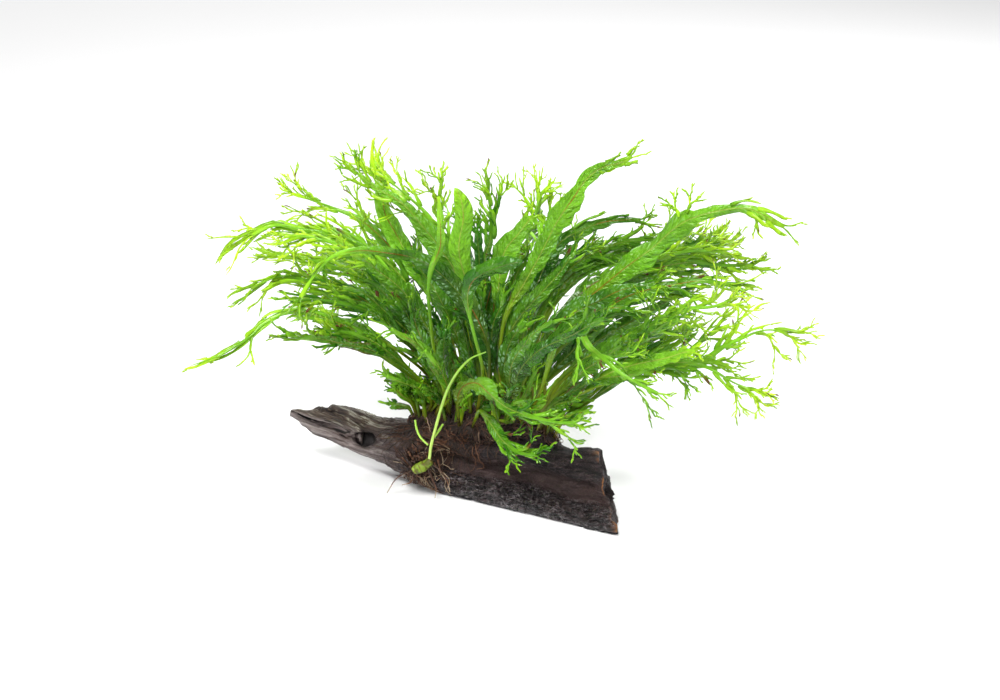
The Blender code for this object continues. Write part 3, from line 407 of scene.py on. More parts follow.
# Runner: a pale stalk reaching down over the wood to a ringed stump of rhizome with roots.
RUNNER_ROUTE = [
    (486, 352, -16), (470, 359, -14), (457, 373, -9), (447, 391, -3), (440, 412, 2), (434, 434, 7),
    (431, 446, 9.4), (430, 454, 10.6), (429, 461, 11.4)]
STUMP_ROUTE = [(431, 460, 11.5), (426, 464, 11.5), (420, 468, 11.5), (413, 471, 12)]
STUMP_RINGS = 4
STUMP_ROOTS = 96
ROOT_RADIUS = 0.42 * MM
HANGING_ROOTS = [
    [(421, 468, 12), (408, 472, 14), (396, 479, 16), (387, 493, 17)],
    [(424, 467, 12), (414, 474, 12), (411, 482, 12), (402, 485, 13)],
    [(427, 465, 12), (431, 476, 12), (436, 488, 11), (435, 498, 10)],
    [(429, 463, 12), (440, 470, 9), (447, 481, 8), (450, 492, 7)],
]
# Two thin stalks of young leaves beside the runner.
YOUNG_STALKS = [
    [(443, 424, 9), (438, 432, 8), (432, 440, 8.5)],
    [(415, 420, 14), (417, 430, 13), (421, 438, 11), (428, 445, 9.5)],
]


def smooth(share):
    """Ease from 0 to 1: 3x² - 2x³, with x kept within 0 and 1."""
    x = np.clip(share, 0, 1)
    return x * x * (3 - 2 * x)


def unit(vectors):
    """Each vector divided by its length."""
    return vectors / np.maximum(np.linalg.norm(vectors, axis=-1, keepdims=True), 1e-12)


def turned(vectors, around, angles):
    """Vectors at right angles to an axis, turned about it: v cos a + (axis × v) sin a."""
    a = np.asarray(angles)[..., None]
    return vectors * np.cos(a) + np.cross(around, vectors) * np.sin(a)


def band(value, low, low_slope, high, high_slope):
    """1 between low and high, eased down to 0 at them, with the given slopes."""
    return smooth((value - low) * low_slope) * smooth((high - value) * high_slope)


def seen(px, py, y):
    """Points at depth y that the front view shows at (px, py): eye + ray (y - eye y) / ray y."""
    scale = UNIT / VIEW_DISTANCE
    across = (np.asarray(px, float) - VIEW_MIDDLE[0]) * scale
    upward = (VIEW_MIDDLE[1] - np.asarray(py, float)) * scale
    ray = FORWARD + across[..., None] * RIGHT + upward[..., None] * UP
    return EYE + ray * ((np.asarray(y) - EYE[1]) / ray[..., 1])[..., None]


def shown_at(points):
    """Where the front view shows points: middle + (offset · right, -offset · up) / depth."""
    offset = points - EYE
    scale = VIEW_DISTANCE / UNIT / (offset @ FORWARD)
    return VIEW_MIDDLE[0] + offset @ RIGHT * scale, VIEW_MIDDLE[1] - offset @ UP * scale


def pointing(heading, rise, length):
    """Vectors of a flat heading and a rise: (cos heading, sin heading, rise) · length."""
    return np.stack([np.cos(heading), np.sin(heading), rise], axis=-1) * length[..., None]


def bent_strip(root, leave, arrive, rise, fall, length):
    """Root, first way, tip and last way of a strip: the tip is root + the mean way · length."""
    tip = root + pointing(0.5 * (leave + arrive), 0.5 * (rise + fall), length)
    return root, pointing(leave, rise, length), tip, pointing(arrive, fall, length)


def between_points(p0, p1, p2, p3, t):
    """Catmull-Rom curve from p1 to p2, at shares t of the way."""
    return 0.5 * (2 * p1 + (p2 - p0) * t + (2 * p0 - 5 * p1 + 4 * p2 - p3) * t * t
                  + (3 * p1 - p0 - 3 * p2 + p3) * t ** 3)


# Steps into which each stretch between two given points is cut, to measure a path's length.
PATH_STEPS = 12


def even_path(points, count):
    """Catmull-Rom curve through the points, with a point at each even step of its length."""
    p = np.asarray(points, float)
    p = np.vstack([2 * p[0] - p[1], p, 2 * p[-1] - p[-2]])
    t = (np.arange(PATH_STEPS) / PATH_STEPS)[None, :, None]
    dense = between_points(*(p[i:len(p) - 3 + i, None, :] for i in range(4)), t)
    dense = np.vstack([dense.reshape(-1, 3), p[-2]])
    walked = np.concatenate([[0], np.cumsum(np.linalg.norm(np.diff(dense, axis=0), axis=1))])
    goals = np.linspace(0, walked[-1], count)
    return np.stack([np.interp(goals, walked, dense[:, k]) for k in range(3)], axis=1), walked[-1]


# Large odd numbers that scatter whole-numbered places for lattice_noise.
HASH_PRIMES, HASH_SEED, HASH_MIX = (73856093, 19349663, 83492791), 2654435761, 1274126177


def lattice_noise(points, seed):
    """Smooth noise from -1 to 1: random values at whole-numbered corners, eased between them."""
    base = np.floor(points).astype(np.int64)
    f = smooth(points - base)
    total = 0
    for corner in np.ndindex(2, 2, 2):
        at = base + np.array(corner)
        spread = at * np.array(HASH_PRIMES)
        mixed = spread[..., 0] ^ spread[..., 1] ^ spread[..., 2] ^ (seed * HASH_SEED)
        mixed = (mixed ^ (mixed >> 13)) * HASH_MIX & 0xFFFFFF
        weight = np.prod(np.where(np.array(corner) == 1, f, 1 - f), axis=-1)
        total = total + weight * (mixed / 0x7FFFFF - 1)
    return total


def rough_noise(points, seed, octaves=3):
    """Lattice noise summed over octaves: each twice as fine and half as strong."""
    return sum(lattice_noise(points * 2 ** k, seed + k) * 0.5 ** k for k in range(octaves))


class Skin:
    """Gathers closed rings of points, carried along paths, into one mesh.

    A ring surface is P(i, j): point j of the closed section at step i.  Quads join neighbouring
    sections and a fan from a pole closes each end, so every surface is a closed body.
    """

    def __init__(self):
        self.points, self.quads, self.fans = [], [], []
        self.values = {"growth": [], "blade": [], "tone": [], "brown": []}
        self.flat = []
        self.count = 0

    def add(self, rings, flat=None, **values):
        """Add rings of shape (n, rows, sides, 3); values and flat (across, along) fit that shape."""
        n, rows, sides, _ = rings.shape
        if n == 0:
            return
        each = rows * sides + 2
        first = self.count + np.arange(n)[:, None] * each
        self.points.append(self.with_poles(rings))
        i, j = np.meshgrid(np.arange(rows - 1), np.arange(sides), indexing="ij")
        i, j = i.ravel(), j.ravel()
        k = (j + 1) % sides
        quad = np.stack([i * sides + j, i * sides + k, (i + 1) * sides + k, (i + 1) * sides + j], axis=1)
        self.quads.append((first[:, :, None] + quad[None]).reshape(-1, 4))
        j = np.arange(sides)
        k = (j + 1) % sides
        low, last = rows * sides, (rows - 1) * sides
        fans = np.concatenate([np.stack([np.full(sides, low), k, j], axis=1),
                               np.stack([np.full(sides, low + 1), last + j, last + k], axis=1)])
        self.fans.append((first[:, :, None] + fans[None]).reshape(-1, 3))
        for name, gathered in self.values.items():
            full = np.broadcast_to(values.get(name, 0), (n, rows, sides)).astype(float)
            gathered.append(self.with_poles(full[..., None])[:, 0])
        flat = np.zeros(2) if flat is None else flat
        self.flat.append(self.with_poles(np.broadcast_to(flat, (n, rows, sides, 2)).astype(float)))
        self.count += n * each

    @staticmethod
    def with_poles(values):
        """Ring values followed by the mean of the first and of the last ring."""
        n, _, _, size = values.shape
        ends = np.stack([values[:, 0].mean(axis=1), values[:, -1].mean(axis=1)], axis=1)
        return np.concatenate([values.reshape(n, -1, size), ends], axis=1).reshape(-1, size)

    def make(self, name, material):
        """The gathered surfaces as one object with its material, UV map and attributes."""
        points = np.concatenate(self.points)
        quads, fans = np.concatenate(self.quads), np.concatenate(self.fans)
        corners = np.concatenate([quads.ravel(), fans.ravel()])
        starts = np.concatenate([np.arange(len(quads)) * 4, len(quads) * 4 + np.arange(len(fans)) * 3])
        mesh = bpy.data.meshes.new(name)
        mesh.vertices.add(len(points))
        mesh.vertices.foreach_set("co", points.ravel().astype(np.float32))
        mesh.loops.add(len(corners))
        mesh.loops.foreach_set("vertex_index", corners.astype(np.int32))
        mesh.polygons.add(len(starts))
        mesh.polygons.foreach_set("loop_start", starts.astype(np.int32))
        mesh.update(calc_edges=True)
        mesh.validate()
        mesh.shade_smooth()
        uv = mesh.uv_layers.new(name="Flat")
        uv.data.foreach_set("uv", np.concatenate(self.flat)[corners].ravel().astype(np.float32))
        for key, gathered in self.values.items():
            layer = mesh.attributes.new(key, "FLOAT", "POINT")
            layer.data.foreach_set("value", np.concatenate(gathered).astype(np.float32))
        mesh.materials.append(material)
        obj = bpy.data.objects.new(name, mesh)
        bpy.context.scene.collection.objects.link(obj)
        return obj


def settle(obj, slot, *nodes):
    """Let a finished piece ride on the plant's body, in place of its nodes; slot is not used."""
    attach(obj, BODY)
    if nodes:
        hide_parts(*nodes)


def search_tree(obj):
    """Search tree over the faces of an object, to drop and lay things on."""
    return BVHTree.FromPolygons([v.co for v in obj.data.vertices], [p.vertices for p in obj.data.polygons])


def tree_of_node(name):
    """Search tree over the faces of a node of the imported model."""
    return search_tree(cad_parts[name])


def finished_wood():
    """Search tree over the finished driftwood, which the driftwood's own step has made."""
    return search_tree(bpy.data.objects["driftwood_piece"])


def drop_on(tree, x, y):
    """Height at which a plumb line through (x, y) meets the surface, or None."""
    hit = tree.ray_cast(Vector((x, y, 0.3)), Vector((0, 0, -1)))
    return None if hit[0] is None else hit[0].z


class Graph:
    """Short forms for building a material's nodes."""

    def __init__(self, name):
        self.material = bpy.data.materials.new(name)
        self.material.use_nodes = True
        self.tree = self.material.node_tree
        self.shader = self.tree.nodes["Principled BSDF"]

    def put(self, value, socket):
        """Link a socket's value, or set a plain one, a colour without its alpha of 1."""
        if isinstance(value, bpy.types.NodeSocket):
            self.tree.links.new(value, socket)
        elif socket.type == "RGBA":
            socket.default_value = (*value[:3], 1)
        else:
            socket.default_value = value

    def surface(self, name, value):
        """Put a value on the shader's own socket."""
        self.put(value, self.shader.inputs[name])

    def new(self, kind, inputs=None, **settings):
        """A shader node of one kind, with its inputs linked or set."""
        node = self.tree.nodes.new("ShaderNode" + kind)
        for key, value in settings.items():
            setattr(node, key, value)
        for key, value in (inputs or {}).items():
            self.put(value, node.inputs[key])
        return node

    def math(self, operation, first, second=0, clamp=False):
        """One step of arithmetic, kept within 0 and 1 if asked."""
        node = self.new("Math", {0: first, 1: second}, operation=operation, use_clamp=clamp)
        return node.outputs[0]

    def times(self, first, *others):
        """The product of all, in their order."""
        for other in others:
            first = self.math("MULTIPLY", first, other)
        return first

    def plus(self, first, *others):
        """The sum of all, in their order."""
        for other in others:
            first = self.math("ADD", first, other)
        return first

    def minus(self, first, second):
        return self.math("SUBTRACT", first, second)

    def rest(self, share):
        """What a share leaves of 1."""
        return self.minus(1, share)

    def between(self, value, low, high):
        """0 below low, 1 above high, eased between."""
        node = self.new("MapRange", {"Value": value, "From Min": low, "From Max": high},
                        interpolation_type="SMOOTHSTEP")
        return node.outputs["Result"]

    def mix(self, share, first, second, how="MIX"):
        """The first colour, and the second one by its share."""
        inputs = {0: share, 6: first, 7: second}
        return self.new("Mix", inputs, data_type="RGBA", blend_type=how).outputs[2]

    def attribute(self, name):
        return self.new("Attribute", attribute_name=name).outputs["Fac"]

    def ramp(self, value, stops):
        """Colours that change with a value, from (value, colour) stops."""
        node = self.new("ValToRGB", {0: value})
        elements = node.color_ramp.elements
        for element, (place, colour) in zip(elements[:], (stops[0], stops[-1])):
            element.position, element.color = place, (*colour, 1)
        for place, colour in stops[1:-1]:
            elements.new(place).color = (*colour, 1)
        return node.outputs["Color"]

    def noise(self, vector, scale, detail=3, roughness=0.55):
        """Noise of one scale, or of three that stretch it."""
        if isinstance(scale, tuple):
            vector = self.new("Mapping", {"Vector": vector, "Scale": scale}).outputs[0]
            scale = 1
        inputs = {"Vector": vector, "Scale": scale, "Detail": detail, "Roughness": roughness}
        return self.new("TexNoise", inputs).outputs["Fac"]

    def edges(self, vector, scale):
        """Distance to the edges of cells."""
        inputs = {"Vector": vector, "Scale": scale}
        return self.new("TexVoronoi", inputs, feature="DISTANCE_TO_EDGE").outputs[0]

    def place(self):
        return self.new("TexCoord").outputs["Object"]

    def finish(self, colour, roughness, height, strength, distance):
        """Put the colour, the roughness and the bump on the shader."""
        self.surface("Base Color", colour)
        self.surface("Roughness", roughness)
        inputs = {"Height": height, "Strength": strength, "Distance": distance}
        normal = self.new("Bump", inputs).outputs["Normal"]
        self.surface("Normal", normal)
        self.surface("Coat Normal", normal)
        return self.material


def leaf_material(settings):
    """Wet living leaf: dark to lime green with growth, netted veins, a fine midrib, thin and glowing, with
    painted glints on its darker blades and painted shade in the heart of the plant.
    """
    g = Graph("Leaf")
    place = g.place()
    growth, blade, tone, brown = map(g.attribute, ("growth", "blade", "tone", "brown"))
    uv = g.new("UVMap", uv_map="Flat").outputs[0]
    across, lengthwise, _ = g.new("SeparateXYZ", {0: uv}).outputs
    patches = g.noise(place, 60, 2)
    mottle = g.noise(place, 420, 4, 0.6)
    # Painted shade: leaves in the heart of the plant, which lies in its own shade, are painted darker and
    # their tips greener.
    level = g.new("VectorMath", {0: place, 1: (1, 0, 1)}, operation="MULTIPLY").outputs[0]
    away = g.new("VectorMath", {0: level, 1: PLANT_HEART}, operation="DISTANCE").outputs["Value"]
    painted_shade = g.rest(g.between(away, 60 * MM, 115 * MM))
    growth = g.minus(growth, g.times(painted_shade, g.between(growth, 0.55, 0.85), 0.2))
    old = g.ramp(growth, [
        (0, (0.045, 0.028, 0.008)), (0.05, (0.06, 0.07, 0.009)), (0.18, (0.045, 0.11, 0.005)),
        (0.36, settings.old), (0.62, (0.02, 0.112, 0.003)), (0.86, (0.045, 0.175, 0.004)),
        (1, (0.105, 0.3, 0.01))])
    young = g.ramp(growth, [
        (0, (0.07, 0.05, 0.01)), (0.06, (0.21, 0.215, 0.014)), (0.18, (0.255, 0.37, 0.012)),
        (0.36, settings.young), (0.62, (0.225, 0.52, 0.026)), (0.86, (0.4, 0.67, 0.018)),
        (1, (0.57, 0.8, 0.04))])
    # Painted light: blades further from the heart of the plant are painted lighter.
    lightness = g.math("ADD", g.plus(tone, g.times(g.rest(painted_shade), 0.11)), g.minus(patches, 0.5), True)
    colour = g.mix(lightness, old, young)
    out = g.math("ABSOLUTE", across)
    oblique = g.minus(g.math("DIVIDE", lengthwise, 3.4 * MM), g.math("DIVIDE", out, 3.6 * MM))
    veined = g.new("CombineXYZ", {0: g.math("DIVIDE", across, 2.6 * MM), 1: oblique}).outputs[0]
    quilt = g.noise(veined, 1, 2.4, 0.6)
    cells = g.edges(veined, 1.2)
    vein = g.times(g.rest(g.between(cells, 0, 0.1)), blade)
    darker = g.mix(1, colour, (0.55, 0.62, 0.45), "MULTIPLY")
    spots = g.times(g.between(mottle, 0.35, 0.7), 0.35)
    colour = g.mix(g.math("MAXIMUM", spots, g.times(vein, 0.55)), colour, darker)
    # Painted highlights: pale mint glints on the raised cells of darker blades, standing in for the wet
    # film's reflections.
    gathered = g.between(g.noise(place, 120, 2), 0.47, 0.6)
    raised = g.times(g.between(cells, 0.1, 0.24), g.between(mottle, 0.38, 0.56), gathered)
    painted_leaf_glint = g.math("MULTIPLY", raised, g.minus(0.8, lightness), True)
    colour = g.mix(g.times(painted_leaf_glint, blade), colour, (0.3, 0.52, 0.28))
    rib = g.times(g.rest(g.between(out, 0.1 * MM, 0.34 * MM)), blade)
    rusty = g.between(g.noise(place, 24, 1), 0.54, 0.62)
    rib_colour = g.mix(rusty, g.mix(tone, (0.07, 0.13, 0.012), (0.4, 0.48, 0.07)), (0.24, 0.075, 0.01))
    colour = g.mix(g.times(rib, 0.8), colour, rib_colour)
    colour = g.mix(brown, colour, (0.09, 0.028, 0.01))
    g.surface("IOR", 1.45)
    g.surface("Specular IOR Level", 0.3)
    g.surface("Specular Tint", (0.78, 1, 0.5))
    g.surface("Subsurface Weight", settings.glow)
    g.surface("Subsurface Radius", (0.35, 1, 0.08))
    g.surface("Subsurface Scale", 0.8 * MM)
    g.surface("Coat Weight", g.times(g.rest(g.times(lightness, 0.75)), settings.wet))
    g.surface("Coat Roughness", 0.03)
    g.surface("Coat IOR", 1.36)
    gloss = g.plus(0.05, g.times(g.noise(place, 340, 3), 0.13))
    height = g.plus(g.times(quilt, blade, 4), g.times(mottle, 0.22), g.times(cells, blade, 0.5))
    return g.finish(colour, gloss, g.minus(height, g.times(rib, 0.4)), 0.9, 0.8 * MM)


class Spine:
    """The middle line of a frond, with its side and face ways, to carry flat shapes along."""

    def __init__(self, points, turn):
        self.path, self.length = even_path(points, SPINE_POINTS)
        share = np.linspace(0, 1, SPINE_POINTS)
        self.tangent = unit(np.gradient(self.path, axis=0))
        side = unit(np.cross(self.tangent, FORWARD))
        angle = math.radians(turn) * (0.4 + 0.9 * share) + 0.26 * np.sin(9 * share + turn)
        self.side = turned(side, self.tangent, angle)
        self.face = np.cross(self.tangent, self.side)
        wave = band(share, 0.25, 2, 1, 6) * MM
        far = share * self.length / (5.2 * MM)
        self.path = (self.path + self.face * (0.8 * wave * np.sin(far + turn))[:, None]
                     + self.side * (0.6 * wave * np.sin(0.8 * far + 2 * turn))[:, None])

    def bend(self, flat):
        """(s, t, lift) goes to path(s) + side(s) t + face(s) lift; past the tip it runs straight on."""
        s = flat[..., 0]
        place = np.clip(s / self.length, 0, 1) * (SPINE_POINTS - 1)
        steps = np.arange(SPINE_POINTS)

        def along(rows):
            return np.stack([np.interp(place, steps, rows[:, k]) for k in range(3)], axis=-1)

        past = np.maximum(s - self.length, 0)[..., None]
        return (along(self.path) + along(self.tangent) * past + unit(along(self.side)) * flat[..., 1:2]
                + unit(along(self.face)) * flat[..., 2:3])


class Ribbons(namedtuple("Ribbons", "root root_way tip tip_way wide narrow young ripe")):
    """Many thin strips in flat frond coordinates (s, t, lift), as cubic curves from root to tip.

    P(x) = (2x³-3x²+1) root + (x³-2x²+x) root_way + (3x²-2x³) tip + (x³-x²) tip_way.  The width
    goes from wide to narrow along x, and the growth from young to ripe.
    """

    def at(self, x):
        """Points at shares x of the strips: P(x)."""
        x = x[..., None]
        parts = ((2 * x ** 3 - 3 * x ** 2 + 1, self.root), (x ** 3 - 2 * x ** 2 + x, self.root_way),
                 (3 * x ** 2 - 2 * x ** 3, self.tip), (x ** 3 - x ** 2, self.tip_way))
        return sum(weight * point[:, None, :] for weight, point in parts)

    def way(self, x):
        """Unit ways along the strips there: P'(x) divided by its length."""
        x = x[..., None]
        parts = ((6 * x ** 2 - 6 * x, self.root), (3 * x ** 2 - 4 * x + 1, self.root_way),
                 (6 * x - 6 * x ** 2, self.tip), (3 * x ** 2 - 2 * x, self.tip_way))
        return unit(sum(weight * point[:, None, :] for weight, point in parts))

    def width(self, x):
        """Width there: wide + (narrow - wide) x."""
        return self.wide[:, None] + (self.narrow - self.wide)[:, None] * x

    def growth(self, x):
        """Growth there: young + (ripe - young) x."""
        return self.young[:, None] + (self.ripe - self.young)[:, None] * x

    def sprout(self, rng, each, first, last, angle, straighten, length, width, tip_width, lift, comb=0):
        """Side strips: each leaves its parent to one side by an angle and bends back to its way.

        The strip's heading goes from parent ± angle to parent ± angle · straighten along it; comb
        is the share of the strips, from -1 to 1, that go to the plus side beyond a half.
        """
        n = len(self.root)
        place = first + (last - first) * (np.arange(each) + rng.uniform(0.1, 0.9, (n, each))) / each
        root, way = self.at(place), self.way(place)
        sign = np.where((np.arange(each) + rng.integers(0, 2, (n, 1))) % 2 == 0, 1, -1)
        sign = np.where(rng.uniform(0, 1, (n, each)) < abs(comb), math.copysign(1, comb), sign)
        heading = np.arctan2(way[..., 1], way[..., 0])
        leave = heading + sign * angle * rng.uniform(0.65, 1.25, (n, each))
        arrive = heading + sign * angle * straighten * rng.uniform(-0.2, 1.4, (n, each))
        reach = length * rng.uniform(0.55, 1.3, (n, each)) * (1.1 - 0.35 * place)
        rise = way[..., 2] + lift * rng.uniform(-1, 1, (n, each))
        fall = rise + lift * rng.uniform(-0.8, 0.8, (n, each))
        wide = np.minimum(width * rng.uniform(0.75, 1.25, (n, each)), self.width(place) * 0.95)
        growth = self.growth(place)
        ripe = growth + (1 - growth) * rng.uniform(0.2, 0.75, (n, each))
        curve = bent_strip(root, leave, arrive, rise, fall, reach)
        sizes = (wide, np.minimum(tip_width, wide), growth, ripe)
        return Ribbons(*(v.reshape(-1, 3) for v in curve), *(v.ravel() for v in sizes))


def add_ribbons(skin, spine, ribbons, rows, sides, thick, tone, rng):
    """Carry a flattened round section along each strip, twisting a little, with a rounded tip."""
    n = len(ribbons.root)
    x = np.linspace(0, 1, rows)[None, :].repeat(n, axis=0)
    centre, way = ribbons.at(x), ribbons.way(x)
    reach = np.linalg.norm(ribbons.tip - ribbons.root, axis=1)[:, None]
    wave = rng.uniform(0, 6.3, (n, 1)) + x * rng.uniform(4, 9, (n, 1))
    side = unit(np.stack([-way[..., 1], way[..., 0], np.zeros_like(x)], axis=-1))
    up = np.cross(way, side)
    sway = (0.035 * reach * x)[..., None]
    centre = centre + side * np.sin(wave)[..., None] * sway + up * np.cos(1.3 * wave)[..., None] * sway
    twist = rng.uniform(-0.35, 0.35, (n, 1)) + x * rng.uniform(-0.8, 0.8, (n, 1))
    side = turned(side, way, twist * smooth(x * 3))
    up = np.cross(way, side)
    round_tip = np.sqrt(np.clip(1 - (np.clip(x - 0.8, 0, 1) / 0.205) ** 2, 0.03, 1))
    club = 1 + 0.2 * np.sin(5 * x + wave)
    half = 0.5 * ribbons.width(x) * round_tip * club
    deep = np.minimum(half, 0.5 * thick) * (0.7 + 0.3 * round_tip)
    around = 2 * np.pi * (np.arange(sides) + 0.5) / sides
    rings = (centre[:, :, None] + side[:, :, None] * (half[..., None] * np.cos(around))[..., None]
             + up[:, :, None] * (deep[..., None] * np.sin(around))[..., None])
    along = (x * reach)[..., None] + 0 * around
    across = half[..., None] * np.cos(around)
    dead = (rng.uniform(0, 1, (n, 1, 1)) < 0.05) * smooth((x - 0.45) * 3)[..., None]
    tone = np.clip(tone + rng.uniform(-0.36, 0.28, (n, 1, 1)), 0, 1)
    skin.add(spine.bend(rings), np.stack([across, along], axis=-1), growth=ribbons.growth(x)[..., None],
             tone=tone, brown=dead)


def frond_route(foot, route, tip_depth, early):
    """Points of a frond's middle line from its foot to the end of its tip, in world space."""
    px, py = shown_at(foot)
    flat = [(px, py)] + list(route)
    steps = [math.dist(p, q) for p, q in zip(flat[:-1], flat[1:])]
    reach = tip_depth - foot[1]
    gone = np.cumsum(steps) / sum(steps)
    ease = LEAN_EARLY if early else LEAN_LATE
    ahead = seen(*route[0], foot[1] + reach * 0.2)
    second = foot + (ahead - foot) * 0.16 + np.array([0, 0, 0.1 * np.linalg.norm(ahead - foot)])
    rest = seen([p[0] for p in route], [p[1] for p in route], foot[1] + reach * gone ** ease)
    return np.vstack([foot, second, rest])


def blade_width(share, width, style):
    """Width of the flat part: eased from the stalk's to full, then down to the style's taper."""
    widening = smooth((share - style.widen) / (style.full - style.widen))
    before = PETIOLE_WIDTH + (width - PETIOLE_WIDTH) * widening
    after = width * (1 - (1 - style.taper) * smooth((share - style.full) / (TIP_STARTS - style.full)))
    return np.where(share < style.full, before, after)


class Prongs:
    """The main prongs of a frond's tip and sides, as they fork from pairs of edge points."""

    def __init__(self, rng):
        self.rng = rng
        self.found = []

    def fork(self, low, high, heading, before, length, levels, lift, start=None):
        """A prong from the edge between two points, then two more from its end.

        tip = middle of the edge + (cos heading, sin heading, lift) · length; each further prong
        turns 16 to 34 degrees aside and is 0.62 to 0.9 times as long.
        """
        root = [(a + b) / 2 for a, b in zip(low, high)]
        base = math.dist(low[:2], high[:2])
        width = max(PRONG_NARROWEST, min(base * 0.62, PRONG_WIDEST))
        if levels > 0:
            width = max(width, FORKED_NARROWEST)
        tip = [root[0] + math.cos(heading) * length, root[1] + math.sin(heading) * length,
               root[2] + lift * length]
        if start is None:
            back = min(length * 0.15, 1.2 * MM)
            start = (root[0] - math.cos(before) * back, root[1] - math.sin(before) * back, root[2])
        if start != "blade":
            self.found.append((start, before, heading, tip, min(base, 2.2 * MM), width, lift))
        if levels == 0:
            return
        side = (-math.sin(heading) * width / 2, math.cos(heading) * width / 2)
        near = (tip[0] - side[0], tip[1] - side[1], tip[2])
        far = (tip[0] + side[0], tip[1] + side[1], tip[2])
        for pair, turn in (((near, tip), -1), ((tip, far), 1)):
            spread = math.radians(self.rng.uniform(16, 34)) * turn
            self.fork(*pair, heading + spread, heading, length * self.rng.uniform(0.62, 0.9), levels - 1,
                      lift + self.rng.uniform(-0.35, 0.35))

    def ribbons(self, length):
        """The prongs as strips that start inside what they grow from, on its heading."""
        if not self.found:
            return None
        start, before, heading, tip, wide, narrow, lift = (np.array(v) for v in zip(*self.found))
        long = np.linalg.norm(tip - start, axis=1)
        growth = 0.25 + 0.62 * np.clip(start[:, 0] / length, 0, 1)
        return Ribbons(start, pointing(before, lift, long), tip, pointing(heading, lift, long),
                       wide, narrow, growth, np.minimum(growth + 0.22, 1))


def core_half(share, width, style):
    """Half the width of the middle blade, which narrows where the ribbons leave it."""
    narrowing = 1 - (1 - style.core) * smooth((share - style.first) / 0.22)
    return 0.5 * blade_width(share, width, style) * narrowing


def main_prongs(length, width, style, rng):
    """Where the blade starts to close, where it ends, and the prongs of the tip and the sides."""
    prongs = Prongs(rng)
    way = rng.choice((-1, 1))
    ends = style.ends
    for share in style.sprouts:
        near, far = share - SPROUT_HALF / length, share + SPROUT_HALF / length
        low = 0.5 * float(blade_width(near, width, style)) * way
        high = 0.5 * float(blade_width(far, width, style)) * way
        long = min(style.reach * length * rng.uniform(0.75, 1.1), PRONG_MOST) * 0.6
        heading = math.radians(rng.uniform(38, 54)) * way
        lift = rng.uniform(-0.45, 0.45)
        start = (share * length - 5 * MM, float(core_half(share, width, style)) * 0.6 * way, 0)
        prongs.fork((near * length, low, 0), (far * length, high, 0), heading, heading * 0.25, long, 1,
                    lift, start)
        ends = far
        way = -way
    for share, side, degrees, long, levels in style.standing:
        edge = float(core_half(share, width, style)) * 0.85 * side
        heading = math.radians(degrees)
        prongs.fork((share * length - SPROUT_HALF, edge, 0), (share * length + SPROUT_HALF, edge, 0),
                    heading, heading * 0.5, long * MM, levels, 0)
    if style.levels == 0:
        return length, length, prongs
    half = 0.5 * float(blade_width(ends, width, style))
    first = (1 - ends) * length * (0.42 if style.levels == 2 else 0.56)
    prongs.fork((ends * length, -half, 0), (ends * length, half, 0), 0, 0, first, style.levels, 0, "blade")
    return ends * length, ends * length + first, prongs


# Places of the section's points around the blade, in degrees, and the step along it in metres.
SECTION_FULL, STEP_FULL = [0, 20, 42, 66, 83, 90, 97, 114, 138, 160], 1.5 * MM
SECTION_SPARE, STEP_SPARE = [0, 30, 62, 86, 94, 118, 150], 2.2 * MM


def add_blade(skin, spine, width, style, fork_at, end_at, tone, rng, spare, leaf):
    """The stalk and blade: a thin lens-shaped section with a midrib, wavy at its margins.

    Across it runs t = cos(a); the face is lifted by a cup -|t|^1.6, by margin waves t² noise(s)
    that differ on the two sides, and by quilting noise(s, t) between the veins.
    """
    section, step = (SECTION_SPARE, STEP_SPARE) if spare else (SECTION_FULL, STEP_FULL)
    rows = int(14 + end_at / step)
    s = end_at * np.linspace(0, 1, rows)[:, None] ** 0.92
    share = s / spine.length
    half = core_half(share, width, style)
    closing = smooth((s - fork_at) / max(end_at - fork_at, 1e-6))
    half = half + (0.5 * PRONG_WIDEST - half) * closing
    if style.levels == 0:
        half = half * np.sqrt(np.clip((1 - share) / 0.1, 0.002, 1))
    leafy = smooth((half - 0.55 * PETIOLE_WIDTH) / (1.1 * MM))
    around = np.radians(np.concatenate([section, np.array(section) + 180]))
    t = np.cos(around)
    seed = int(rng.integers(0, 9000))
    s, which = np.broadcast_arrays(s, np.sign(t + 1e-9))

    def along_edge(step, extra):
        """Noise that changes along the blade, in steps of so many mm, and differs on its two sides."""
        points = np.stack([s / (step * MM), which * 7.3, np.full(s.shape, float(extra))], axis=-1)
        return lattice_noise(points, seed)

    lobes = 0.26 * along_edge(8, 0) + 0.13 * along_edge(2.8, 5) - 0.02
    ragged = np.maximum(1 + style.ruffle * leafy * lobes, 0.3)
    thick = leaf.stalk_thick + (leaf.blade_thick - leaf.stalk_thick) * leafy
    up = np.sign(np.sin(around))
    rib = np.exp(-(t * half / (0.3 * MM)) ** 2) * up
    deep = thick * np.abs(np.sin(around)) ** 0.6 * up + leafy * rib * 0.22 * MM * (1 - 0.5 * closing)
    cup = -rng.uniform(0.05, 0.4) * leafy * half * np.abs(t) ** 1.6
    margin = (0.46 * along_edge(7.5, 9) + 0.13 * along_edge(2.6, 14)) * t ** 2 * half * leafy * style.ruffle
    across = half * t * ragged
    cells = lattice_noise(np.stack([s / (2.4 * MM), across / (1.9 * MM), 0 * s], axis=-1), seed + 3)
    quilt = cells * 0.27 * MM * leafy * np.abs(t) * (1.25 - np.abs(t))
    flat = np.stack([s, across, deep + cup + margin + quilt], axis=-1)
    scorch = style.scorched * smooth(np.abs(t) * 3 - 1.6) * smooth(2.6 * along_edge(3.4, 21) + 0.45)
    growth = np.clip(share * 0.74 - 0.02 + 0.1 * closing, style.fresh, 1) + 0.06 * leafy * t ** 4
    shade = np.clip(tone + style.paler * smooth((share - 0.58) / 0.24), 0, 1)
    skin.add(spine.bend(flat)[None], np.stack([across, s], axis=-1)[None], growth=growth[None],
             blade=leafy[None], brown=(scorch * leafy)[None], tone=shade[None])


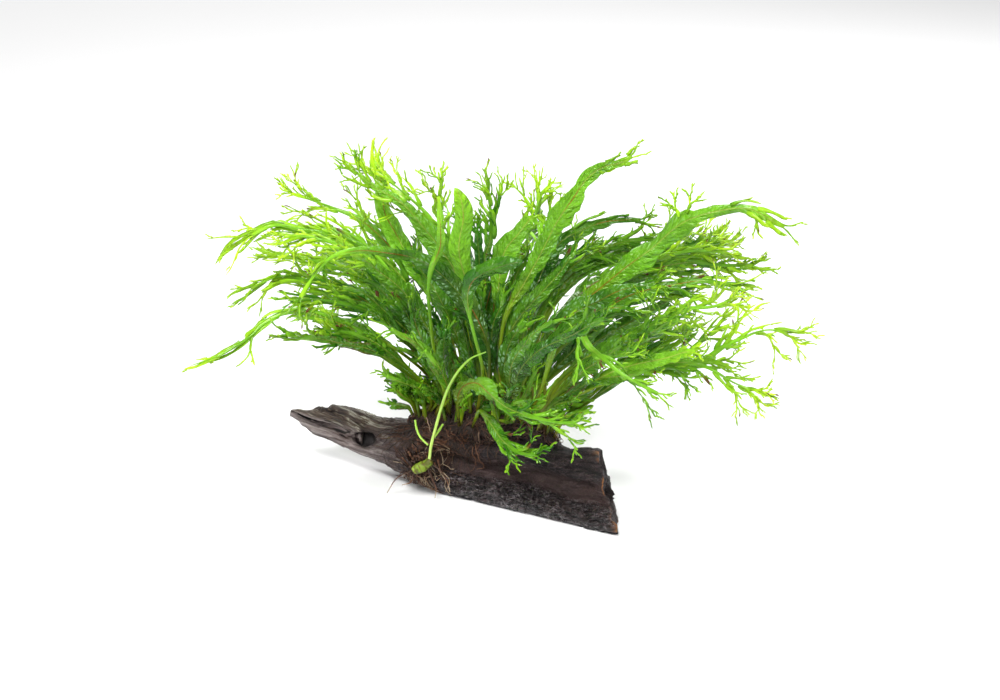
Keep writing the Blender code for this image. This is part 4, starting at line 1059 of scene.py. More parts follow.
def edge_ribbons(spine, width, style, end_at, rng):
    """Finer ribbons from both edges of the upper blade, running forward beside it."""
    n = style.ribbons
    length = spine.length
    share = style.first + (style.last - style.first) * (np.arange(n) + rng.uniform(0, 0.8, n)) / n
    s = np.minimum(share * length, end_at)
    sign = np.where((np.arange(n) + rng.integers(0, 2)) % 2 == 0, 1, -1)
    half = core_half(s / length, width, style)
    leave = sign * np.radians(rng.uniform(14, 36, n)) * style.spread
    arrive = sign * np.radians(rng.uniform(-10, 20, n)) * style.spread
    left = np.maximum(length - s, 0)
    long = np.minimum(style.long * MM * rng.uniform(0.5, 1.25, n), left + 4 * MM)
    rise = rng.uniform(-0.3, 0.3, n)
    fall = rise + rng.uniform(-0.3, 0.2, n)
    root = np.stack([s, sign * half * 0.6, 0 * s], axis=-1)
    growth = np.clip(0.2 + 0.62 * s / length, 0, 1)
    wide = rng.uniform(1.5, 2.7, n) * MM
    return Ribbons(*bent_strip(root, leave, arrive, rise, fall, long), wide, wide * 0.6,
                   growth, np.minimum(growth + 0.22, 1))


def build_frond(name, style, points, width, turn, number, tone, spare=False):
    """One frond as one mesh: stalk and blade, main prongs and finer ribbons, small prongs on both,
    and shorter ones on 0.42 of the small prongs.  A spare frond has fewer of each."""
    leaf = bpy.context.scene.fern_leaf
    spine = Spine(points, turn)
    chance = random.Random(PRONG_SEED + number)
    fork_at, end_at, prongs = main_prongs(spine.length, width, style, chance)
    rng = np.random.default_rng(BLADE_SEED + number)
    skin = Skin()
    add_blade(skin, spine, width, style, fork_at, end_at, tone, rng, spare, leaf)
    stems = [prongs.ribbons(spine.length), edge_ribbons(spine, width, style, end_at, rng)]
    stems = [group for group in stems if group is not None and len(group.root)]
    if stems:
        stems = Ribbons(*(np.concatenate(values) for values in zip(*stems)))
        add_ribbons(skin, spine, stems, 8, 5, 0.5 * MM, tone, rng)
        upward = math.copysign(style.comb, style.comb * spine.side[int(0.7 * SPINE_POINTS), 2])
        branches = stems.sprout(rng, max(style.tines - spare, 0), 0.32, 1, 0.66 * math.sqrt(style.spread),
                                0.5, style.small * MM, 1.35 * MM, 0.9 * MM, 0.4, upward)
        add_ribbons(skin, spine, branches, 6, 4, 0.44 * MM, tone, rng)
        keep = rng.uniform(0, 1, len(branches.root)) < 0.42
        forked = Ribbons(*(values[keep] for values in branches))
        tines = forked.sprout(rng, 1, 0.4, 0.9, 0.62, 0.5, 0.55 * style.small * MM, MM, 0.74 * MM, 0.4)
        add_ribbons(skin, spine, tines, 5, 4, 0.38 * MM, tone, rng)
    return skin.make(name, shared("leaf", leaf_material, leaf))


def mat_plan(share, side):
    """World point on the table below a place of the mat: share of its length, side in metres."""
    a = MAT_FROM + (MAT_TO - MAT_FROM) * share
    return wood_plan(a, MAT_MIDDLE + side + 1.5 * MM * math.sin(share * 9))


def mat_width(share):
    """Half the width of the mat at a share of its length."""
    return MAT_HALF_WIDTH * np.sqrt(np.maximum(0.05, 1 - (2 * share - 1) ** 4))


def frond_foot(frond, mat_tree):
    """The foot of a frond on the mat, and whether it stands in the front row."""
    side = frond.side * MM * FOOT_SPREAD * float(mat_width(frond.foot)) / MAT_HALF_WIDTH
    plan = mat_plan(frond.foot, side)
    height = drop_on(mat_tree, plan[0], plan[1])
    return np.array([plan[0], plan[1], height + FOOT_LIFT]), side < FRONT_ROW


def wood_axes():
    """Unit vectors along the driftwood and level across it, towards the back."""
    along = np.array([math.cos(WOOD_YAW), -math.sin(WOOD_YAW), 0])
    across = np.array([math.sin(WOOD_YAW), math.cos(WOOD_YAW), 0])
    return along, across


def wood_plan(a, d):
    """World points on the table at length a and depth d of the driftwood."""
    along, across = wood_axes()
    a, d = np.asarray(a, float), np.asarray(d, float)
    return np.array([0, WOOD_FRONT, 0]) + along * a[..., None] + across * d[..., None]


def height_on_line(plan, line):
    """Height of the points above the given plan that the front view shows on the given line."""
    line = np.array(line, float)
    z = np.zeros(plan.shape[:-1])
    for _ in range(6):
        px, py = shown_at(np.concatenate([plan[..., :2], z[..., None]], axis=-1))
        z = z + (py - np.interp(px, line[:, 0], line[:, 1])) * UNIT / math.cos(VIEW_DROP)
    return z


def wood_rings(a):
    """The corners of the driftwood's section at each length a: foot + across (share_d · depth + worn)
    + along forward + up (share_z · rise), from the thin section on the left to the thick one."""
    along, across = wood_axes()
    stops = np.array(WOOD_DEPTH) * MM
    depth = np.interp(a, stops[:, 0], stops[:, 1])
    foot = wood_plan(a, 0 * a)
    under = np.where(a < WOOD_REST_FROM, np.maximum(0, height_on_line(foot, WOOD_UNDER_LINE)), 0)
    end = smooth((a + 0.034) / 0.0715)
    slant, skew = -WOOD_END_SLANT * end, -WOOD_END_SKEW * end
    ridge = foot + across * (0.44 * depth)[:, None] + along * (slant + skew * 0.44 * depth)[:, None]
    rise = np.maximum(height_on_line(ridge, WOOD_TOP_LINE) - under, 5 * MM)
    thick = smooth((a + 0.105) / 0.06)[:, None]
    tip = (1 - smooth((a - WOOD_LEFT) / 0.03))[:, None]
    thick_side, thin_side = np.array(SECTION_THICK), np.array(SECTION_THIN)
    share_d = thin_side[:, 0] + (thick_side[:, 0] - thin_side[:, 0]) * thick
    share_z = thin_side[:, 1] + (thick_side[:, 1] - thin_side[:, 1]) * thick
    i = np.arange(len(SECTION_THICK))
    wave = 0.7 * np.sin(a[:, None] * 95 + i * 2.1) + 0.5 * np.sin(a[:, None] * 230 + i * 4.4)
    worn = wave * MM * np.minimum(1, 4 * share_z) * (1 - 0.6 * tip)
    depth = depth[:, None]
    forward = slant[:, None] * share_z + skew[:, None] * share_d * depth
    forward = forward + tip * 10 * MM * smooth(share_d * 2.2 - 0.4)
    rings = (foot[:, None] + across * (share_d * depth + worn)[..., None] + along * forward[..., None])
    height = under[:, None] + share_z * rise[:, None] + 0.3 * worn
    flat = (share_z <= 0) & (a >= WOOD_REST_FROM)[:, None]
    rings[..., 2] = np.where(flat, 0, height)
    px, py = shown_at(rings)
    far = np.hypot((px - KNOT_HOLE_SEEN[0]) / 15, (py - KNOT_HOLE_SEEN[1]) / 10)
    front = (share_d < 0.4) & (share_z > 0.1) & (share_z < 0.9)
    return rings + across * (np.where(front, KNOT_HOLE_DEPTH * np.exp(-far * far), 0))[..., None]


def rounded(rings, sides):
    """Closed Catmull-Rom curve through each ring's corners, at the given number of points."""
    count = rings.shape[1]
    place = np.arange(sides) * count / sides
    i = place.astype(int)
    t = (place - i)[None, :, None]
    return between_points(*(rings[:, (i + k) % count] for k in (-1, 0, 1, 2)), t)


def grid_normals(grid):
    """Outward unit normals of rings: the cross product of the ways around and along."""
    around = np.roll(grid, -1, axis=1) - np.roll(grid, 1, axis=1)
    along = np.gradient(grid, axis=0)
    return unit(np.cross(around, along))


def add_attribute(obj, name, kind, rings):
    """Give a piece a value or a vector at each point of its rings and poles."""
    layer = obj.data.attributes.new(name, kind, "POINT")
    values = Skin.with_poles(rings[None]).ravel().astype(np.float32)
    layer.data.foreach_set("vector" if kind == "FLOAT_VECTOR" else "value", values)


def distance_to_cleft(px, py, start, stop):
    """Distance from seen points to a straight cleft, and the share along it."""
    start, stop = np.array(start, float), np.array(stop, float)
    way = stop - start
    share = np.clip(((px - start[0]) * way[0] + (py - start[1]) * way[1]) / (way @ way), 0, 1)
    return np.hypot(px - start[0] - share * way[0], py - start[1] - share * way[1]), share


def build_driftwood(material, settings):
    """Driftwood: unlike sections along its length, with fibres, clefts and broken ends.

    Each point moves along its normal by ridged fibres 1 - |noise(a / 30 mm, around / 2 mm)|, finer
    ones half as wide, lumps, pits, cross checks on the wet lip and the clefts of the front; at the
    left end a notch moves points along the wood; the ends close with rings shrinking to a middle.
    """
    sides = WOOD_SIDES
    a = np.linspace(WOOD_LEFT, WOOD_RIGHT, WOOD_ROWS)
    grid = rounded(wood_rings(a)[:, ::-1], sides)
    resting = grid[..., 2] < 0.25 * MM
    normals = grid_normals(grid)
    along, across = wood_axes()
    middle = grid.mean(axis=1, keepdims=True)
    rise = np.interp(a, [WOOD_LEFT, WOOD_RIGHT], [middle[0, 0, 2], middle[-1, 0, 2]])
    level = middle[..., 2] - rise[:, None]
    place = np.stack([grid @ along, grid @ across, grid[..., 2] - level], axis=-1)
    bent = place + 0.001 * rough_noise(place * 55, 91, 2)[..., None] * np.array([0, 1, 1])
    grain = 1 - np.abs(rough_noise(bent * np.array([45, 430, 430]), 3, 2)) * 1.9
    fine = 1 - np.abs(rough_noise(bent * np.array([70, 950, 950]), 11, 2)) * 2
    lumps = rough_noise(place * np.array([50, 95, 95]), 23, 2)
    pits = smooth((lattice_noise(place * 330, 31) - 0.35) * 3)
    corner = np.arange(sides) * len(SECTION_THICK) / sides
    lip = band(corner, 12.4, 1.4, 17, 1.4) * smooth((a + 0.08) / 0.03)[:, None]
    checks = smooth((0.11 - np.abs(lattice_noise(place * np.array([380, 210, 210]), 43))) * 9) * lip
    left = 1 - smooth((a - WOOD_LEFT - 34 * MM) / 0.045)[:, None]
    groove = 1 - np.abs(lattice_noise(bent * np.array([9, 420, 420]), 5)) * 2.2
    upper = band(corner, 5, 0.8, 12.2, 1.6)
    grooved = settings.grooves * np.maximum(groove, -0.3) + 0.8 * settings.fibres * grain
    grooved = (0.35 + 0.65 * upper) * grooved
    push = (1 - left) * (settings.fibres * grain + 0.7 * MM * lumps) + left * grooved
    push = push + MM * (0.3 * fine - 0.5 * pits - 0.8 * checks)
    px, py = shown_at(grid)
    facing = smooth(-4 * (normals @ FORWARD))
    # dark marks the clefts and the knot hole, which the material paints near black as painted shade.
    dark = np.zeros_like(push)
    for start, stop, half, deep in CLEFTS:
        far, share = distance_to_cleft(px, py, start, stop)
        far = far + 1.1 * lattice_noise(place * 190, 57)
        sunk = np.exp(-(far / half) ** 2) * np.sin(np.pi * np.clip(share, 0.06, 0.94)) * facing
        push = push - deep * MM * sunk
        dark = np.maximum(dark, sunk * min(1, 0.45 * deep))
    hole = np.hypot((px - KNOT_HOLE_SEEN[0]) / 10.5, (py - KNOT_HOLE_SEEN[1] + 2) / 7)
    hole = np.exp(-(hole + 0.24 * lattice_noise(place * 420, 59)) ** 4) * facing
    push = push - 3.8 * MM * hole
    dark = np.maximum(dark, hole)
    grid = grid + normals * (push * (1 - smooth((0.8 * MM - grid[..., 2]) / MM) * resting))[..., None]
    notch = np.exp(-((corner - 9) / 1.7) ** 2)[None, :] * np.exp(-(a - WOOD_LEFT) / (13 * MM))[:, None]
    ends = 1.5 * MM * lattice_noise(place * 300, 67) * np.exp(-(a - WOOD_LEFT) / (6 * MM))[:, None]
    broken = 1.5 * MM * lattice_noise(place * 260, 71) * np.exp(-(WOOD_RIGHT - a) / (4 * MM))[:, None]
    grid = grid + along * (8 * MM * notch + ends + broken)[..., None]
    grid[..., 2] = np.where(resting, np.maximum(grid[..., 2], 0), np.maximum(grid[..., 2], 0.05 * MM))
    grid[..., 2] = np.where(resting & (grid[..., 2] < 0.3 * MM), 0, grid[..., 2])

    def cap(ring, way, steps, splinter):
        """Rings that shrink from an end's ring to its middle, pushed out by splinter · noise."""
        middle = ring.mean(axis=0)
        shares = (1 - (np.arange(1, steps + 1) / steps) ** 1.2 * 0.97)[:, None, None]
        rings = middle + (ring - middle) * shares
        rough = rough_noise(rings * 260, 47, 3) * splinter
        rings = rings + along * (way * (1 - shares[..., 0]) * rough)[..., None]
        rings[..., 2] = np.maximum(rings[..., 2], 0)
        return rings

    left_cap = cap(grid[0], -1, LEFT_CAP, 2 * MM)[::-1]
    right_cap = cap(grid[-1], 1, RIGHT_CAP, 3.2 * MM)
    bare = grid
    grid = np.concatenate([left_cap, grid, right_cap])
    rim = np.exp(-(WOOD_RIGHT - a) / (0.9 * MM))[:, None] * smooth(lattice_noise(place * 230, 83) * 3 - 0.2)
    trough = band(corner, 10.2, 1.2, 13.4, 1.2) * (1 - left)
    # depth is low in the furrows between the fibres and in the checks, and drops to 0 in the clefts and the
    # knot hole; the material paints it near black, partly the wood's dark grain and partly painted shade.
    depth = np.clip(0.55 * grain + 0.45 * fine - checks, 0, 1)
    depth = (depth * (1 - left) + np.clip(0.35 + 0.35 * groove + 0.3 * fine, 0, 1) * left) * (1 - dark)
    skin = Skin()
    ends = ((LEFT_CAP, RIGHT_CAP), (0, 0))
    skin.add(grid[None], growth=np.pad(depth, ends, constant_values=0.5)[None],
             blade=np.pad(lip, ends)[None], tone=np.pad(left, ends, mode="edge")[None],
             brown=np.pad(rim, ends)[None])
    piece = skin.make("driftwood_piece", material)
    add_attribute(piece, "hollow", "FLOAT", np.pad(trough, ends)[..., None])
    add_attribute(piece, "left_end_top", "FLOAT", np.pad(upper * left, ends, mode="edge")[..., None])
    ends = (*ends, (0, 0))
    fibre = np.pad(place, ends, mode="edge") + 0.25 * (grid - np.pad(bare, ends, mode="edge"))
    add_attribute(piece, "fibre", "FLOAT_VECTOR", fibre)
    return piece


def wood_material(settings):
    """Wet dark wood: long fibres in black-brown, paler where weathered, glinting on the lip, with painted
    glints and painted shade in its furrows, crevices, clefts and knot hole.
    """
    g = Graph("Wet driftwood")
    place = g.place()
    length = g.new("Attribute", attribute_name="fibre").outputs["Vector"]
    grain = g.noise(length, (120, 760, 760), 6, 0.7)
    wander = g.noise(length, (260, 540, 540), 2.5, 0.6)
    from_line = g.math("ABSOLUTE", g.minus(wander, 0.5))
    worm = g.rest(g.between(from_line, 0, 0.05))
    painted_crevice_shade = g.between(from_line, 0.085, 0.15)
    streaks = g.noise(length, (14, 820, 820), 6, 0.66)
    patches = g.noise(place, 42)
    speckle = g.noise(place, 1300, 2)
    ridge, lip, left, hollow = map(g.attribute, ("growth", "blade", "tone", "hollow"))
    colour = g.ramp(grain, [
        (0.38, (0.006, 0.004, 0.004)), (0.46, settings.dark), (0.55, (0.04, 0.025, 0.026)),
        (0.66, settings.pale)])
    weathered = g.ramp(streaks, [
        (0.36, (0.024, 0.018, 0.017)), (0.44, (0.125, 0.098, 0.092)), (0.54, (0.24, 0.197, 0.188)),
        (0.66, (0.42, 0.365, 0.345))])
    lined = g.noise(length, (16, 900, 900), 4, 0.6)
    grooves = g.ramp(lined, [
        (0.4, (0.01, 0.006, 0.004)), (0.48, (0.05, 0.028, 0.014)), (0.55, (0.12, 0.092, 0.06)),
        (0.62, (0.42, 0.4, 0.32))])
    # Paler grooved streaks on the top face of the left end.
    weathered = g.mix(g.times(g.attribute("left_end_top"), 0.8), weathered, grooves)
    colour = g.mix(g.times(left, 0.95), colour, weathered)
    colour = g.mix(g.times(g.between(patches, 0.52, 0.75), 0.45), colour, (0.07, 0.034, 0.024))
    colour = g.mix(g.times(g.between(speckle, 0.6, 0.75), 0.3), colour, (0.12, 0.092, 0.084))
    # Painted shade: near black where the depth value (ridge) is low, in furrows, checks, clefts and the knot
    # hole.
    colour = g.mix(g.times(g.rest(g.between(ridge, 0, 0.16)), 0.95), colour, (0.005, 0.004, 0.004))
    net = g.new("Mapping", {"Vector": length, "Scale": (330, 620, 620)}).outputs[0]
    crackle = g.edges(net, 1)
    right = g.rest(left)
    cracks = g.times(g.rest(g.between(crackle, 0.02, 0.16)), 0.6, right)
    colour = g.mix(cracks, colour, (0.006, 0.004, 0.004))
    open_side = g.times(right, g.rest(g.times(hollow, 0.8)))
    colour = g.mix(g.times(hollow, 0.55), colour, (0.05, 0.027, 0.024))
    # Painted shade: the crevices beside the winding ridges are painted near black.
    colour = g.mix(g.times(painted_crevice_shade, open_side, 0.85), colour, (0.004, 0.003, 0.003))
    # Painted highlights: pale specks along the winding ridges, strongest on the wet lip.
    painted_wood_glints = g.times(worm, g.between(g.noise(place, 150, 2), 0.38, 0.62))
    painted_wood_glints = g.times(painted_wood_glints, open_side, g.plus(0.14, g.times(lip, 0.56)))
    colour = g.mix(painted_wood_glints, colour, (0.3, 0.262, 0.272))
    colour = g.mix(g.times(g.attribute("brown"), 0.9), colour, (0.42, 0.17, 0.05))
    g.surface("Specular IOR Level", 0.3)
    g.surface("Coat Weight", g.plus(0.1, g.times(lip, 0.55)))
    g.surface("Coat Roughness", 0.16)
    rough = g.minus(g.plus(0.34, g.times(g.noise(place, 200), 0.4)), g.times(lip, 0.14))
    height = g.plus(g.times(grain, 1.6), g.times(speckle, 0.2), g.times(worm, open_side, 0.8),
                    g.times(streaks, 2.6, left), g.times(g.between(crackle, 0, 0.25), 1.3, lip))
    return g.finish(colour, rough, height, 1, 1.1 * MM)


def strand_rings(paths, radii, sides):
    """A round section carried along each path: centre + side r cos a + up r sin a."""
    tangent = unit(np.gradient(paths, axis=1))
    side = unit(np.cross(tangent, np.array([0.31, 0.22, 0.93])))
    up = np.cross(tangent, side)
    around = 2 * np.pi * np.arange(sides) / sides
    return (paths[:, :, None] + side[:, :, None] * (radii[..., None] * np.cos(around))[..., None]
            + up[:, :, None] * (radii[..., None] * np.sin(around))[..., None])


def add_strands(skin, routes, thick, taper, count, sides, shade):
    """Round strands along routes, each thinning evenly to a share of its own radius."""
    paths = np.stack([even_path(route, count)[0] for route in routes])
    radii = np.array(thick)[:, None] * np.linspace(1, taper, count)[None]
    skin.add(strand_rings(paths, radii, sides), growth=shade)


def crawl(tree, start, way, steps, step, lift, rng, sag):
    """A root's route over a surface: step on, turn a little, sink, and keep close to the surface."""
    point, way = Vector(start), Vector(way)
    route = []
    for _ in range(steps):
        way = way + Vector((rng.gauss(0, 0.35), rng.gauss(0, 0.35), rng.gauss(0, 0.25) - sag))
        way.normalize()
        near, normal, _, _ = tree.find_nearest(point + way * step)
        slide = way - normal * way.dot(normal)
        if slide.length > 0.05:
            way = slide.normalized()
        point = near + normal * lift
        point.z = max(point.z, lift + 0.1 * MM)
        route.append(tuple(point))
    return route


def build_root_mat(material, settings):
    """Rhizome and matted roots: a lumpy cushion under a felt of fine crawling strands."""
    wood_tree, mat_tree = tree_of_node("driftwood"), tree_of_node("root_mat")
    rows, sides = 64, 30
    share = np.linspace(0, 1, rows)
    around = 2 * np.pi * np.arange(sides) / sides
    width = mat_width(share) * 0.96
    plan = np.stack([mat_plan(s, 0) for s in share])
    across = wood_axes()[1]
    floor = np.array([drop_on(wood_tree, p[0], p[1]) for p in plan])
    swell = 1 - (2 * share - 1) ** 6
    rings = plan[:, None] + across * (width[:, None] * np.cos(around))[..., None]
    arch = np.maximum(np.sin(around), 0) ** 0.8 * (MAT_HEIGHT * 0.92 * swell)[:, None]
    rings[..., 2] = floor[:, None] - 1.2 * MM * np.maximum(-np.sin(around), 0) + arch + 0.6 * MM
    bumps = rough_noise(rings * 420, 61, 3) * 1.5 * MM
    rings = rings + grid_normals(rings) * bumps[..., None]
    skin = Skin()
    skin.add(rings[None], growth=0.15)
    rng = random.Random(7)
    routes = []
    for _ in range(settings.felt):
        place = rng.uniform(0.02, 0.98)
        side = rng.uniform(-1, 1)
        start = mat_plan(place, side * float(mat_width(place)))
        height = drop_on(mat_tree, start[0], start[1]) or float(np.interp(place, share, floor)) + 2 * MM
        turn = rng.uniform(0, 2 * math.pi)
        way = (math.cos(turn), math.sin(turn), 0)
        routes.append(crawl(mat_tree, (start[0], start[1], height), way, 9, 1.5 * MM,
                            rng.uniform(0.1, 3.4) * MM, rng, 0.05))
    thick = np.array([rng.uniform(0.16, 0.42) for _ in routes]) * MM
    shade = np.array([rng.uniform(0, 1) for _ in routes])[:, None, None]
    add_strands(skin, routes, thick, 0.5, 12, 4, shade)
    return skin.make("root_felt", material)


def build_fine_roots(material, settings):
    """Roots that leave the mat and creep over the front of the wood, gripping it."""
    wood_tree = finished_wood()
    rng = random.Random(19)
    routes, thick = [], []
    along, across = wood_axes()
    for number in range(settings.roots):
        gathered = number % 3 > 0
        place = rng.uniform(0.02, 0.42) if gathered else rng.uniform(0, 1)
        front = gathered or rng.random() < 0.6
        side = -1 if front else 1
        start = mat_plan(place, side * float(mat_width(place)) * rng.uniform(0.7, 1))
        height = drop_on(wood_tree, start[0], start[1]) or 0.02
        way = across * side + along * rng.uniform(-0.7, 0.7)
        steps = rng.randint(8, 17) if gathered else rng.randint(5, 12)
        lift = rng.choice((0.15, 0.25, 0.6, 1.2)) * MM
        routes.append(crawl(wood_tree, (start[0], start[1], height), way, steps, 1.9 * MM, lift, rng, 0.22))
        thick.append(rng.uniform(0.4, 1) * settings.radius)
    shade = np.array([rng.uniform(0, 0.9) for _ in routes])[:, None, None]
    skin = Skin()
    add_strands(skin, routes, thick, 0.4, 17, 4, shade)
    return skin.make("creeping_roots", material)


def root_material(settings):
    """Fine roots: near black to rusty brown from strand to strand, dull and fibrous."""
    g = Graph("Roots")
    fibre = g.noise(g.place(), 900)
    stops = [(0, (0.012, 0.007, 0.004)), (0.45, settings.colour), (0.8, (0.09, 0.034, 0.014)),
             (0.93, (0.18, 0.075, 0.032)), (1, (0.48, 0.36, 0.24))]
    colour = g.mix(g.times(fibre, 0.5), g.ramp(g.attribute("growth"), stops), (0.01, 0.006, 0.004))
    return g.finish(colour, g.plus(0.45, g.times(fibre, 0.4)), fibre, 0.6, 0.2 * MM)


def swollen_tube(route, count, radii, sides):
    """Rings of a round body along one route of the front view; radii gives its size by share."""
    path, _ = even_path([seen(px, py, y * MM) for px, py, y in route], count)
    share = np.linspace(0, 1, count)
    return strand_rings(path[None], radii(share)[None], sides), share


def build_runner(stalk_material, stump_material, roots_material, settings):
    """Pale runner stalk, the ringed stump it ends in, and the roots that hang from it."""
    stalk = Skin()

    def slender(t):
        return settings.stalk_radius * (0.4 + 0.32 * smooth(t * 4) + 0.28 * t)

    rings, share = swollen_tube(RUNNER_ROUTE, 70, slender, 14)
    stalk.add(rings, growth=share[None, :, None])
    for route in YOUNG_STALKS:
        rings, share = swollen_tube(route, 24, lambda t: (0.55 - 0.2 * np.abs(t - 0.4)) * MM, 8)
        stalk.add(rings, growth=0.25 + 0.3 * share[None, :, None])
    runner = stalk.make("runner_stalk_piece", stalk_material)

    def ringed(t):
        """Radius of the stump: a belly, rings |sin|^0.6 and a blunt end."""
        belly = 0.5 + 0.5 * np.sin(np.pi * (0.1 + 0.66 * t))
        scar = np.abs(np.sin(np.pi * STUMP_RINGS * t ** 1.35)) ** 0.6
        blunt = np.sqrt(np.clip(1 - np.clip(t - 0.93, 0, 1) ** 2 * 200, 0.03, 1))
        return settings.stump_radius * belly * (0.9 + 0.12 * scar) * blunt

    knob = Skin()
    rings, share = swollen_tube(STUMP_ROUTE, 60, ringed, 26)
    rings = rings[0]
    rings = rings + grid_normals(rings) * (rough_noise(rings * 330, 71, 3) * 0.42 * MM)[..., None]
    knob.add(rings[None], growth=share[None, :, None])
    stump = knob.make("runner_stump_piece", stump_material)
    hanging = Skin()
    for route in HANGING_ROOTS:
        rings, share = swollen_tube(route, 26, lambda t: ROOT_RADIUS * (1 - 0.55 * t), 7)
        hanging.add(rings, growth=0.35 + 0.75 * share[None, :, None])
    rng = random.Random(31)
    tree = finished_wood()
    routes = []
    for number in range(STUMP_ROOTS):
        px, py, y = STUMP_ROUTE[number % len(STUMP_ROUTE)]
        start = seen(px + rng.uniform(-22, 8), py + rng.uniform(-26, 5), (y + rng.uniform(-1, 2)) * MM)
        way = (rng.uniform(-1, 0.8), rng.uniform(0, 0.6), rng.uniform(-1, 0.2))
        routes.append([tuple(start)] + crawl(tree, start, way, rng.randint(5, 11), 1.9 * MM,
                                             rng.uniform(0.3, 3.4) * MM, rng, 0.22))
    thick = np.array([rng.uniform(0.2, 0.46) for _ in routes]) * MM
    shade = np.array([rng.uniform(0.15, 0.95) for _ in routes])[:, None, None]
    shade = shade + np.linspace(0, 0.2, 20)[None, :, None]
    add_strands(hanging, routes, thick, 0.35, 20, 5, shade)
    roots = hanging.make("hanging_roots", roots_material)
    return runner, stump, roots


def stalk_material(settings):
    """Smooth living stalk: pale green, yellower towards the base, faintly streaked."""
    g = Graph("Pale stalk")
    streak = g.noise(g.place(), (900, 900, 120))
    stops = [(0, (0.2, 0.42, 0.03)), (0.4, settings.stalk), (1, (0.54, 0.74, 0.16))]
    colour = g.mix(g.times(streak, 0.4), g.ramp(g.attribute("growth"), stops), (0.23, 0.33, 0.06))
    g.surface("Subsurface Weight", 0.2)
    g.surface("Subsurface Radius", (0.5, 1, 0.2))
    g.surface("Subsurface Scale", 0.8 * MM)
    return g.finish(colour, g.plus(0.25, g.times(streak, 0.25)), streak, 0.35, 0.2 * MM)


def stump_material(settings):
    """Rhizome stump: green with tan rings where old leaves stood, pale at its growing tip."""
    g = Graph("Ringed stump")
    place = g.place()
    growth = g.attribute("growth")
    scales = g.noise(place, 650)
    bent = g.plus(g.math("POWER", growth, 1.35), g.times(g.minus(scales, 0.5), 0.1))
    ring = g.math("ABSOLUTE", g.math("SINE", g.times(bent, math.pi * STUMP_RINGS)))
    green = g.ramp(growth, [
        (0, (0.15, 0.23, 0.02)), (0.45, settings.stump), (0.8, (0.17, 0.26, 0.022)),
        (0.93, (0.3, 0.42, 0.05)), (1, (0.45, 0.52, 0.12))])
    blotches = g.noise(place, 260)
    colour = g.mix(g.times(g.between(blotches, 0.48, 0.66), 0.75), green, (0.06, 0.05, 0.012))
    colour = g.mix(g.times(g.rest(g.between(ring, 0.05, 0.45)), 0.75), colour, (0.085, 0.042, 0.012))
    colour = g.mix(g.times(g.between(scales, 0.5, 0.7), 0.4), colour, (0.15, 0.11, 0.03))
    g.surface("Specular IOR Level", 0.25)
    return g.finish(colour, g.plus(0.32, g.times(scales, 0.3)), scales, 0.6, 0.3 * MM)


def floor_material(settings):
    """Plain pale floor with a very faint unevenness."""
    g = Graph("Pale floor")
    cloud = g.noise(g.place(), 3, 2)
    g.surface("Base Color", g.mix(cloud, [0.97 * c for c in settings.floor], settings.floor))
    g.surface("Roughness", 0.75)
    return g.material


class LeafSettings(bpy.types.PropertyGroup):
    old: FloatVectorProperty(
        name="Old leaf", description="Colour of the oldest, darkest blades", subtype="COLOR",
        default=(0.011, 0.067, 0.002), min=0, max=1)
    young: FloatVectorProperty(
        name="New leaf", description="Colour of the newest, lightest blades", subtype="COLOR",
        default=(0.18, 0.46, 0.018), min=0, max=1)
    stalk_thick: FloatProperty(
        name="Stalk thickness", description="Thickness of a frond's stalk", default=0.62 * MM,
        min=0.2 * MM, max=1.2 * MM, unit="LENGTH", precision=5)
    blade_thick: FloatProperty(
        name="Blade thickness", description="Thickness of the flat leaf", default=0.15 * MM,
        min=0.05 * MM, max=0.5 * MM, unit="LENGTH", precision=5)
    base_leaves: IntProperty(
        name="Base leaves", description="Number of small leaves at the base", default=60, min=1, max=80)
    glow: FloatProperty(
        name="Glow", description="How much light passes through the thin leaf", default=0.16, min=0,
        max=1, subtype="FACTOR")
    wet: FloatProperty(
        name="Wet gloss", description="Strength of the wet film over the leaf", default=0.4, min=0, max=1,
        subtype="FACTOR")


class WoodSettings(bpy.types.PropertyGroup):
    dark: FloatVectorProperty(
        name="Dark wood", description="Colour of the wet wood", subtype="COLOR",
        default=(0.0225, 0.0135, 0.0145), min=0, max=1)
    pale: FloatVectorProperty(
        name="Pale grain", description="Colour of the raised dry grain", subtype="COLOR",
        default=(0.105, 0.074, 0.073), min=0, max=1)
    fibres: FloatProperty(
        name="Fibre depth", description="Depth of the furrows between the wood's fibres",
        default=0.62 * MM, min=0, max=1.2 * MM, unit="LENGTH", precision=5)
    grooves: FloatProperty(
        name="Groove depth", description="Depth of the grooves at the weathered end", default=1.2 * MM,
        min=0, max=2.5 * MM, unit="LENGTH", precision=5)


class RootSettings(bpy.types.PropertyGroup):
    colour: FloatVectorProperty(
        name="Root", description="Colour of the fine roots", subtype="COLOR",
        default=(0.04, 0.016, 0.008), min=0, max=1)
    radius: FloatProperty(
        name="Root radius", description="Radius of the thickest creeping root", default=0.4 * MM,
        min=0.1 * MM, max=0.6 * MM, unit="LENGTH", precision=5)
    felt: IntProperty(
        name="Felt strands", description="Number of strands on the root mat", default=760, min=1)
    roots: IntProperty(
        name="Creeping roots", description="Number of roots over the wood", default=210, min=1)


